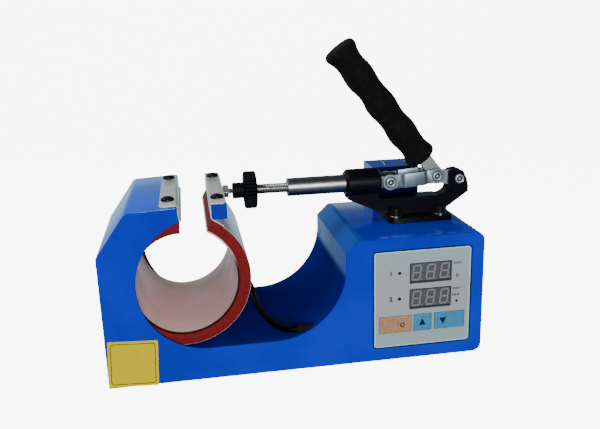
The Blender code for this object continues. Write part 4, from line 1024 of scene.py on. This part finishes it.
def addRivet(node, rows, x, z, reach, body):
    # painted shade lies in the front end's dish, and a painted shadow round its rim; reach is from the
    # clamp's middle to the rim's foot, and 0 where the front can't be seen
    place = (x, middleY, z)
    addPiece(node + "_rivet", turnedMesh(node + "_rivet", rows, place, "y", 56), "rivet", body, [node], 30)
    if not reach:
        return
    for number, (inner, outer, rise) in enumerate(rivet["shadeRings"]):
        high, low = reach + rise, reach + rise - rivet["shadeRingDepth"]
        ring = np.array([(inner, high), (outer, high), (outer, low), (inner, low), (inner, high)])
        name = f"{node}_grime{number}"
        addPiece(name, turnedMesh(name, ring * (1, -1), place, "y", 48), "inkAndShade", body)


def makeFasteners():
    for node, place in fasteners["button"].items():
        addButtonScrew(node, place)
    for node, (place, axis, shaft) in fasteners["pan"].items():
        addPanScrew(node, place, axis, shaft)
    for node, place in fasteners["cap"].items():
        addCapScrew(node, place)
    for node, (x, z, shaft) in fasteners["rivet"].items():
        rows = np.array(rivetRows(shaft))
        rows = np.concatenate([rows, rows[::-1] * (1, -1)])
        addRivet(node, rows, x, z, shaft, frame["nodes"][node]["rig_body"])
    for node, (x, z, start, sign) in fasteners["half"].items():
        rows = np.array(rivetRows(rivet["halfLength"]) + [(rivet["radius"], 0), (0, 0)])
        rows[:, 1] = sign * (rows[:, 1] + start)
        addRivet(node, rows, x, z, start + rivet["halfLength"] if sign < 0 else 0, "toggle_links")


makeFasteners()
print("fasteners made")


# push block, rod and knob

rod = {
    "line": (middleY, 144.0),
    "stud": (98.0, 117.5, 2.3), "studPitch": 0.8, "studGroove": 0.3,    # start, end, radius
    "screw": (123.4, 162.1, 4.5), "pitch": 1.5, "groove": 0.4, "tail": 42.0,
    "knob": (123.2, 134.1, 16.5), "knobBore": 4.6, "knobFace": 5.0, "knobRound": 1.8,
    "scallops": 30, "scallop": 0.75, "sharpness": 0.7,
    "scallopShares": (0.80, 0.15),                # of the radius: the flutes' start, and their growth
    "socket": (113.2, 122.9, 7.0), "socketBore": (5.0, 121.3), "socketRound": 0.5,
    "plunger": (161.6, 262.5, 8.1), "plungerRound": 0.6,
    "plungerEnd": (3.0, 0.75),                    # the last taper's length, and the radius's share after it
    "flat": (246.2, 6.2),                         # where the plunger is milled flat, and half its thickness
    "bore": (4.75, 209.0),                        # the plunger's bore: radius and end
}


def addTurned(name, rows, steps, finish, body, node, shaped=None):
    mesh = turnedMesh(name, rows, (0, *rod["line"]), "x", steps, shaped)
    addPiece(name, mesh, finish, body, [node])


def addThread(name, size, pitch, depth, tail, finish, body, node):
    # the radius falls and rises with the distance along the rod plus the turn, which winds a helix;
    # a tail as thin as the thread's core can follow
    start, end, radius = size
    along = np.linspace(start, end, int((end - start) / pitch * 8) + 1)
    rows = [(0, start), *((radius, place) for place in along)]
    if tail:
        rows += [(radius - depth, end), (radius - depth, end + tail)]

    def helix(across, height, angle):
        phase = (height / pitch - angle / (2 * math.pi)) % 1
        groove = depth * np.abs(2 * phase - 1)
        return np.where(across == radius, across - groove, across), height
    addTurned(name, rows + [(0, end + tail)], 40, finish, body, node, helix)


def scalloped(radius, height, angle):
    # shallow flutes round the knob's rim, strongest where the rim is widest
    start, over = rod["scallopShares"]
    wide = np.clip((radius / rod["knob"][2] - start) / over, 0, 1)
    wave = np.abs(np.cos(rod["scallops"] * angle / 2)) ** rod["sharpness"]
    return radius - rod["scallop"] * (1 - wave) * 2 * wide, height


def milled(across, along, turn):
    # past its flats' start the rod is cut on both sides to fit between the links
    start, half = rod["flat"]
    reach = half / np.maximum(np.abs(np.cos(turn)), 0.001)
    return np.where(along > start, np.minimum(across, reach), across), along


def makeRod():
    softened("push_block", "block", 0.5)
    softened("stud_nut", "stud", 0.3)
    addThread("studThread", rod["stud"], rod["studPitch"], rod["studGroove"], 0, "stud", "push_head",
              "push_stud")
    addThread("rodThread", rod["screw"], rod["pitch"], rod["groove"], rod["tail"], "thread", "adjuster",
              "adjust_screw")

    start, end, radius = rod["knob"]
    bore, face, corner = rod["knobBore"], radius - rod["knobFace"], rod["knobRound"]
    rows = [(bore, start), (face, start),
            *circle(corner, 270, 360, 6, (radius - corner, start + corner)).tolist(),
            *circle(corner, 0, 90, 6, (radius - corner, end - corner)).tolist(),
            (face, end), (bore, end), (bore, start)]
    addTurned("knobWheel", rows, 300, "plastic", "adjuster", "knob", scalloped)

    start, end, radius = rod["socket"]
    bore, depth = rod["socketBore"]
    corner = rod["socketRound"]
    rows = [(0, depth), (bore, depth), (bore, start), (radius - corner, start),
            *circle(corner, 270, 360, 4, (radius - corner, start + corner)).tolist(),
            (radius, end), (0, end)]
    addTurned("rodTip", rows, 64, "plastic", "screw_tip", "swivel_socket")

    start, end, radius = rod["plunger"]
    bore, depth = rod["bore"]
    corner, (taper, tipShare) = rod["plungerRound"], rod["plungerEnd"]
    flat = rod["flat"][0]
    rows = [(0, depth), (bore, depth), (bore, start + corner), (bore + corner, start),
            (radius - corner, start),
            *circle(corner, 270, 360, 4, (radius - corner, start + corner)).tolist(),
            (radius, flat), (radius, flat + 0.01), (radius, end - taper), (radius * tipShare, end), (0, end)]
    addTurned("plungerRod", rows, 128, "rod", "push_rod", "plunger", milled)


makeRod()
print("rod made")


# clamp, links, handle and grip

grip = {
    "foot": (297.7, 147.2), "angle": 127.4, "across": 0.2,
    "start": 19.4, "length": 126.6, "radius": 12.6,
    "wave": 0.8, "waves": 4, "flare": 2.0, "topFlare": (0.9, 16.0),
    "round": 7.5, "roundShares": (0.75, 0.96),    # the ends' rounding, and how deep and how far it goes
    "lumps": ((0.10, 3, 0.19, 0.0), (0.07, 5, -0.31, 1.3)),    # size, how many, twist in a mm, start
}


def makeGrip():
    # a turned bar whose radius follows a cosine for the fingers and swells towards its round ends,
    # with slight unevenness in the foam
    g = grip
    share = np.linspace(0, 1, 161)
    height = g["length"] * share
    fromTop = g["length"] - height
    fromEnd = np.minimum(height, fromTop)
    flare, reach = g["topFlare"]
    radius = (g["radius"] + g["wave"] * np.cos(2 * math.pi * g["waves"] * share)
              + g["flare"] * np.exp(-(fromEnd / g["round"]) ** 2) + flare * np.exp(-(fromTop / reach) ** 2))
    inward = np.clip(1 - fromEnd / g["round"], 0, 1)
    deep, full = g["roundShares"]
    radius -= g["round"] * deep * (1 - np.sqrt(1 - full * inward ** 2))
    rows = np.concatenate([[(0, 0)], np.stack([radius, height], -1), [(0, g["length"])]])

    def uneven(across, along, turn):
        lump = sum(size * np.sin(count * turn + along * twist + start)
                   for size, count, twist, start in g["lumps"])
        return across * (1 + lump / g["radius"]), along
    turned = turnedMesh("gripFoam", rows, (0, 0, 0), "z", 96, uneven)
    angle = math.radians(g["angle"])
    x = g["foot"][0] + g["start"] * math.cos(angle) + g["across"] * math.sin(angle)
    z = g["foot"][1] + g["start"] * math.sin(angle) - g["across"] * math.cos(angle)
    back = Matrix.Translation(Vector(-shift * mm))
    lean = Matrix.Rotation(math.pi / 2 - angle, 4, "Y")
    turned.transform(Matrix.Translation(Vector(inFrame(x, middleY, z))) @ lean @ back)
    addPiece("gripFoam", turned, "grip", "handle", ["handle_grip"], 60)


def makeClamp():
    softened("clamp_body", "cast", 0.9, 3)
    for node, finish in (("link_front", "zinc"), ("link_rear", "zinc"), ("handle_arm", "arm")):
        softened(node, finish, 0.4, 2, 30)


makeClamp()
makeGrip()
print("clamp and handle made")


# control panel

# each kind of mark has its front face, or its foot, at this y
markFaces = {"digit": 0.23, "key": -0.98, "film": -0.47, "numeral": -0.44, "dot": -0.45, "gapShade": -0.2}
digit = {
    "height": 13.9, "width": 7.9, "slant": 0.12, "thick": 1.35, "gap": 0.15,
    "point": (0.6, 1.2, 0.8),             # the point's radius and place beside the figure's foot
    "pitch": 12.3, "left": 1.5, "low": 2.2,
}
# each key's mark stands this far from the key's middle
keyMarks = {
    "arrow": ((0, 3.2), (-3.0, -2.7), (3.0, -2.7)), "up": (-0.5, 0.3), "down": (-0.3, -0.2),
    "ring": (2.1, 1.1), "set": (-0.6, -0.6),
}
dot = {"radius": 1.45, "height": 0.45, "foot": 0.35}
numeral = {"size": 5.6, "swell": 0.2, "depth": 0.03, "left": 7.5}
# small plain marks beside the displays
ticks = {
    # left x, z, count and height of each row
    "rows": ((293.2, 84.3, 5, 2.1), (292.8, 61.2, 5, 2.1), (292.6, 55.4, 5, 2.6)),
    "pitch": 1.35, "width": 0.7, "corner": 0.2,
    "ring": (296.6, 72.9), "diamond": (296.4, 49.4), "size": 1.5, "hole": 0.85,
}
# the dark ring of painted shade in the gap round the panel
gapShade = {"outer": (1.15, 3.4), "inner": (0.05, 2.6), "depth": 0.4}     # margin and corner radius
inkDepth = 0.06


def segmentLoops():
    # the seven strokes of a figure and its point: thin hexagons, leaning to the right
    w, h, t = digit["width"], digit["height"], digit["thick"]
    half = t / 2

    def flat(z):
        return [(half, z), (t, z + half), (w - t, z + half), (w - half, z), (w - t, z - half), (t, z - half)]

    def upright(x, foot):
        low, high = foot + digit["gap"], foot + h / 2 - half - digit["gap"]
        return [(x, low), (x + half, low + half), (x + half, high - half), (x, high),
                (x - half, high - half), (x - half, low + half)]
    loops = [flat(half), flat(h / 2), flat(h - half)]
    for x in (half, w - half):
        loops += [upright(x, half), upright(x, h / 2)]
    radius, right, rise = digit["point"]
    return [np.array(loop) for loop in loops] + [circle(radius, 0, 330, 11, (w + right, rise))]


def addMarks(name, loops, front, finish, body):
    # each loop becomes its own low prism, its front face at front
    points, faces = [], []
    for loop in loops:
        first, count = len(points), len(loop)
        points += [(x, y, z) for y in (front, front + inkDepth) for x, z in loop]
        faces += [[first + i for i in range(count)], [first + count + i for i in reversed(range(count))]]
        faces += [[first + i, first + count + i, first + count + (i + 1) % count, first + (i + 1) % count]
                  for i in range(count)]
    addPiece(name, closedMesh(name, points, faces), finish, body)


def addRing(name, outer, inner, front, finish, body, depth=inkDepth):
    addPiece(name, flatMesh(name, [outer, inner], depth, front + depth / 2), finish, body, (), 5)


def loopRound(radius, centre):
    return circle(radius, 0, 350, 35, centre)


def makeDigits():
    for number, (left, low) in enumerate(panel["displays"]):
        loops = []
        for place in range(3):
            for loop in segmentLoops():
                across = loop[:, 0] + loop[:, 1] * digit["slant"] + place * digit["pitch"]
                loops.append(np.stack([left + digit["left"] + across, low + digit["low"] + loop[:, 1]], -1))
        addMarks(f"digits{number + 1}", loops, markFaces["digit"], "digit", "housing")


def makeKeyMarks():
    def onKey(key, mark):
        return np.array([panel["keys"][key], panel["keyRise"]]) + keyMarks[mark]
    arrow, front = np.array(keyMarks["arrow"]), markFaces["key"]
    addMarks("upArrow", [arrow + onKey("up_key", "up")], front, "arrowInk", "up_key")
    addMarks("downArrow", [arrow * (1, -1) + onKey("down_key", "down")], front, "arrowInk", "down_key")
    outer, inner = (loopRound(radius, onKey("set_key", "set")) for radius in keyMarks["ring"])
    addRing("setMark", outer, inner, front, "brownInk", "set_key")


def makeIndicators():
    # a low dome for each lamp, its height falling as a quarter circle does, and its numeral
    share = np.linspace(0, 1, 9)
    dome = np.stack([dot["radius"] * share, -dot["height"] * np.sqrt(1 - share ** 2)], -1)
    rows = np.concatenate([dome, [(dot["radius"], dot["foot"]), (0, dot["foot"])]])
    for number, (x, z) in enumerate(panel["dots"], 1):
        mesh = turnedMesh(f"indicator{number}", rows, (x, markFaces["dot"], z), "y", 40)
        addPiece(f"indicator{number}", mesh, "inkAndShade", "housing")
        text = bpy.data.curves.new(f"numeral{number}", "FONT")
        text.body = str(number)
        text.size = numeral["size"] * mm
        text.offset = numeral["swell"] * mm
        text.extrude = numeral["depth"] * mm
        text.align_x = "CENTER"
        text.align_y = "CENTER"
        mesh = curveMesh("numeral", text)
        stand(mesh, x - numeral["left"], markFaces["numeral"], z)
        addPiece(f"numeral{number}", mesh, "inkAndShade", "housing")


def makeTicks():
    t = ticks
    loops = []
    for left, z, count, height in t["rows"]:
        for x in left + t["pitch"] * np.arange(count):
            loops.append(roundedLoop((x, z - height / 2), (x + t["width"], z + height / 2), t["corner"]))
    loops.append(circle(t["size"], 0, 270, 3, t["diamond"]))
    addMarks("scaleTicks", loops, markFaces["film"], "inkAndShade", "housing")
    addRing("scaleRing", loopRound(t["size"], t["ring"]), loopRound(t["hole"], t["ring"]),
            markFaces["film"], "inkAndShade", "housing")


def makeGasket():
    # a dark ring in the gap round the panel, as painted shade
    centre, half = np.array(panel["centre"]), np.array(panel["size"]) / 2
    outer, inner = (roundedLoop(centre - half - margin, centre + half + margin, radius, 6)
                    for margin, radius in (gapShade["outer"], gapShade["inner"]))
    addRing("panelGapShade", outer, inner, markFaces["gapShade"], "inkAndShade", "housing", gapShade["depth"])


def makePanel():
    softened("control_panel", "film", 0.25)
    for display in ("upper_display", "lower_display"):
        softened(display, display, 0.0)
    for key in panel["keys"]:
        softened(key, key, 0.15)
    makeDigits()
    makeKeyMarks()
    makeIndicators()
    makeTicks()
    makeGasket()
    softened("controller_board", "board", 0.1)
    softened("power_relay", "relay", 0.8, 3)
    for node in ("mains_inlet", "switch_housing"):
        softened(node, "plastic", 0.35)
    softened("power_rocker", "rocker", 0.4)


sticker = {
    "centre": (21.2, 20.5), "size": 40.1, "turn": -3.1, "corner": 1.2,
    "y": -0.45, "depth": 0.3, "edge": 0.05,
    "border": 2.1, "line": 0.55, "borderCorners": (2.5, 2.0), "borderFace": -0.64,
}


def makeSticker():
    s = sticker
    turn = math.radians(s["turn"])
    spin = np.array([[math.cos(turn), math.sin(turn)], [-math.sin(turn), math.cos(turn)]])

    def turnedLoop(half, radius):
        return roundedLoop((-half, -half), (half, half), radius, 5) @ spin + s["centre"]
    half = s["size"] / 2
    mesh = flatMesh("yellowSticker", [turnedLoop(half, s["corner"])], s["depth"], s["y"], s["edge"])
    addPiece("yellowSticker", mesh, "sticker", "housing", ["tower_sticker"], 5)
    inner = half - s["border"]
    outerCorner, innerCorner = s["borderCorners"]
    addRing("stickerBorder", turnedLoop(inner, outerCorner), turnedLoop(inner - s["line"], innerCorner),
            s["borderFace"], "inkAndShade", "housing")


makePanel()
makeSticker()
print("panel and sticker made")


# heater lead

lead = {
    "radius": 3.0,
    "lying": 30.8,            # height of its middle where it lies on the trough's floor
    "exitAngle": -45.0, "exitGap": 0.3, "exitY": 116.0,
    "steps": 12,              # to each stretch of the route
    "route": ((106.6, 116.0, 14.1), (110.0, 116.5, 11.0), (115.5, 117.5, 8.6), (122.0, 118.0, 8.8),
              (127.3, 115.5, 7.2), (129.6, 110.5, 3.0), (130.3, 104.0, 0.2), (130.7, 92.0, 0.0),
              (132.6, 68.0, 0.0), (135.8, 48.8, 0.1), (140.2, 31.5, 0.3), (144.5, 20.0, 0.8),
              (148.8, 12.2, 2.0), (153.2, 8.6, 2.9), (157.5, 8.2, 2.8), (177.7, 8.2, 2.8)),
}


def leadWay():
    # a Catmull-Rom curve from the band's outside through the route
    reach, turn = heater["outer"] + lead["exitGap"], math.radians(lead["exitAngle"])
    start = (heater["centre"][0] + reach * math.cos(turn), lead["exitY"],
             heater["centre"][1] + reach * math.sin(turn))
    points = np.array([start] + [(x, y, z + lead["lying"]) for x, y, z in lead["route"]])
    before = np.concatenate([points[:1], points[:-2]])[:, None]
    here, there = points[:-1][:, None], points[1:][:, None]
    after = np.concatenate([points[2:], points[-1:]])[:, None]
    t = np.arange(lead["steps"])[None, :, None] / lead["steps"]
    way = (here + (there - before) * t / 2
           + (before - here * 2.5 + there * 2 - after * 0.5) * t ** 2
           + (here * 1.5 - before * 0.5 - there * 1.5 + after * 0.5) * t ** 3)
    return np.concatenate([way.reshape(-1, 3), points[-1:]])


def makeLead():
    way = (leadWay() + shift) * mm
    curve = bpy.data.curves.new("heaterLead", "CURVE")
    curve.dimensions = "3D"
    curve.bevel_depth = lead["radius"] * mm
    curve.bevel_resolution = 5
    curve.use_fill_caps = True
    addLine(curve, way)
    cord = bpy.data.objects.new("heaterLead", curve)
    curve.materials.append(finishes["cord"].material)
    bpy.context.scene.collection.objects.link(cord)
    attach(cord, "housing")
    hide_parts("heater_lead")
    softened("lead_grommet", "rubberAndShade", 0.3)


makeLead()


# floor and closing

def makeFloor():
    # the floor curves up at the back into a plain backdrop; the object neither mirrors it nor
    # takes light from it
    f = floor
    curve = circle(f["bend"], -90, 0, 24, (f["back"], f["bend"]))
    line = np.concatenate([[(-f["half"], 0)], curve, [(f["back"] + f["bend"], f["rise"])]])
    points = [(x, y, z) for y, z in line for x in (-f["half"], f["half"])]
    faces = [(2 * i, 2 * i + 1, 2 * i + 3, 2 * i + 2) for i in range(len(line) - 1)]
    mesh = bpy.data.meshes.new("paleFloor")
    mesh.from_pydata(points, [], faces)
    mesh.shade_smooth()
    mesh.materials.append(finishes["floor"].material)
    ground = bpy.data.objects.new("paleFloor", mesh)
    ground.visible_glossy = False
    ground.visible_diffuse = False
    bpy.context.scene.collection.objects.link(ground)


makeFloor()
left = sorted(name for name, node in frame["nodes"].items() if not node.hide_render)
print("nodes still showing:", left)
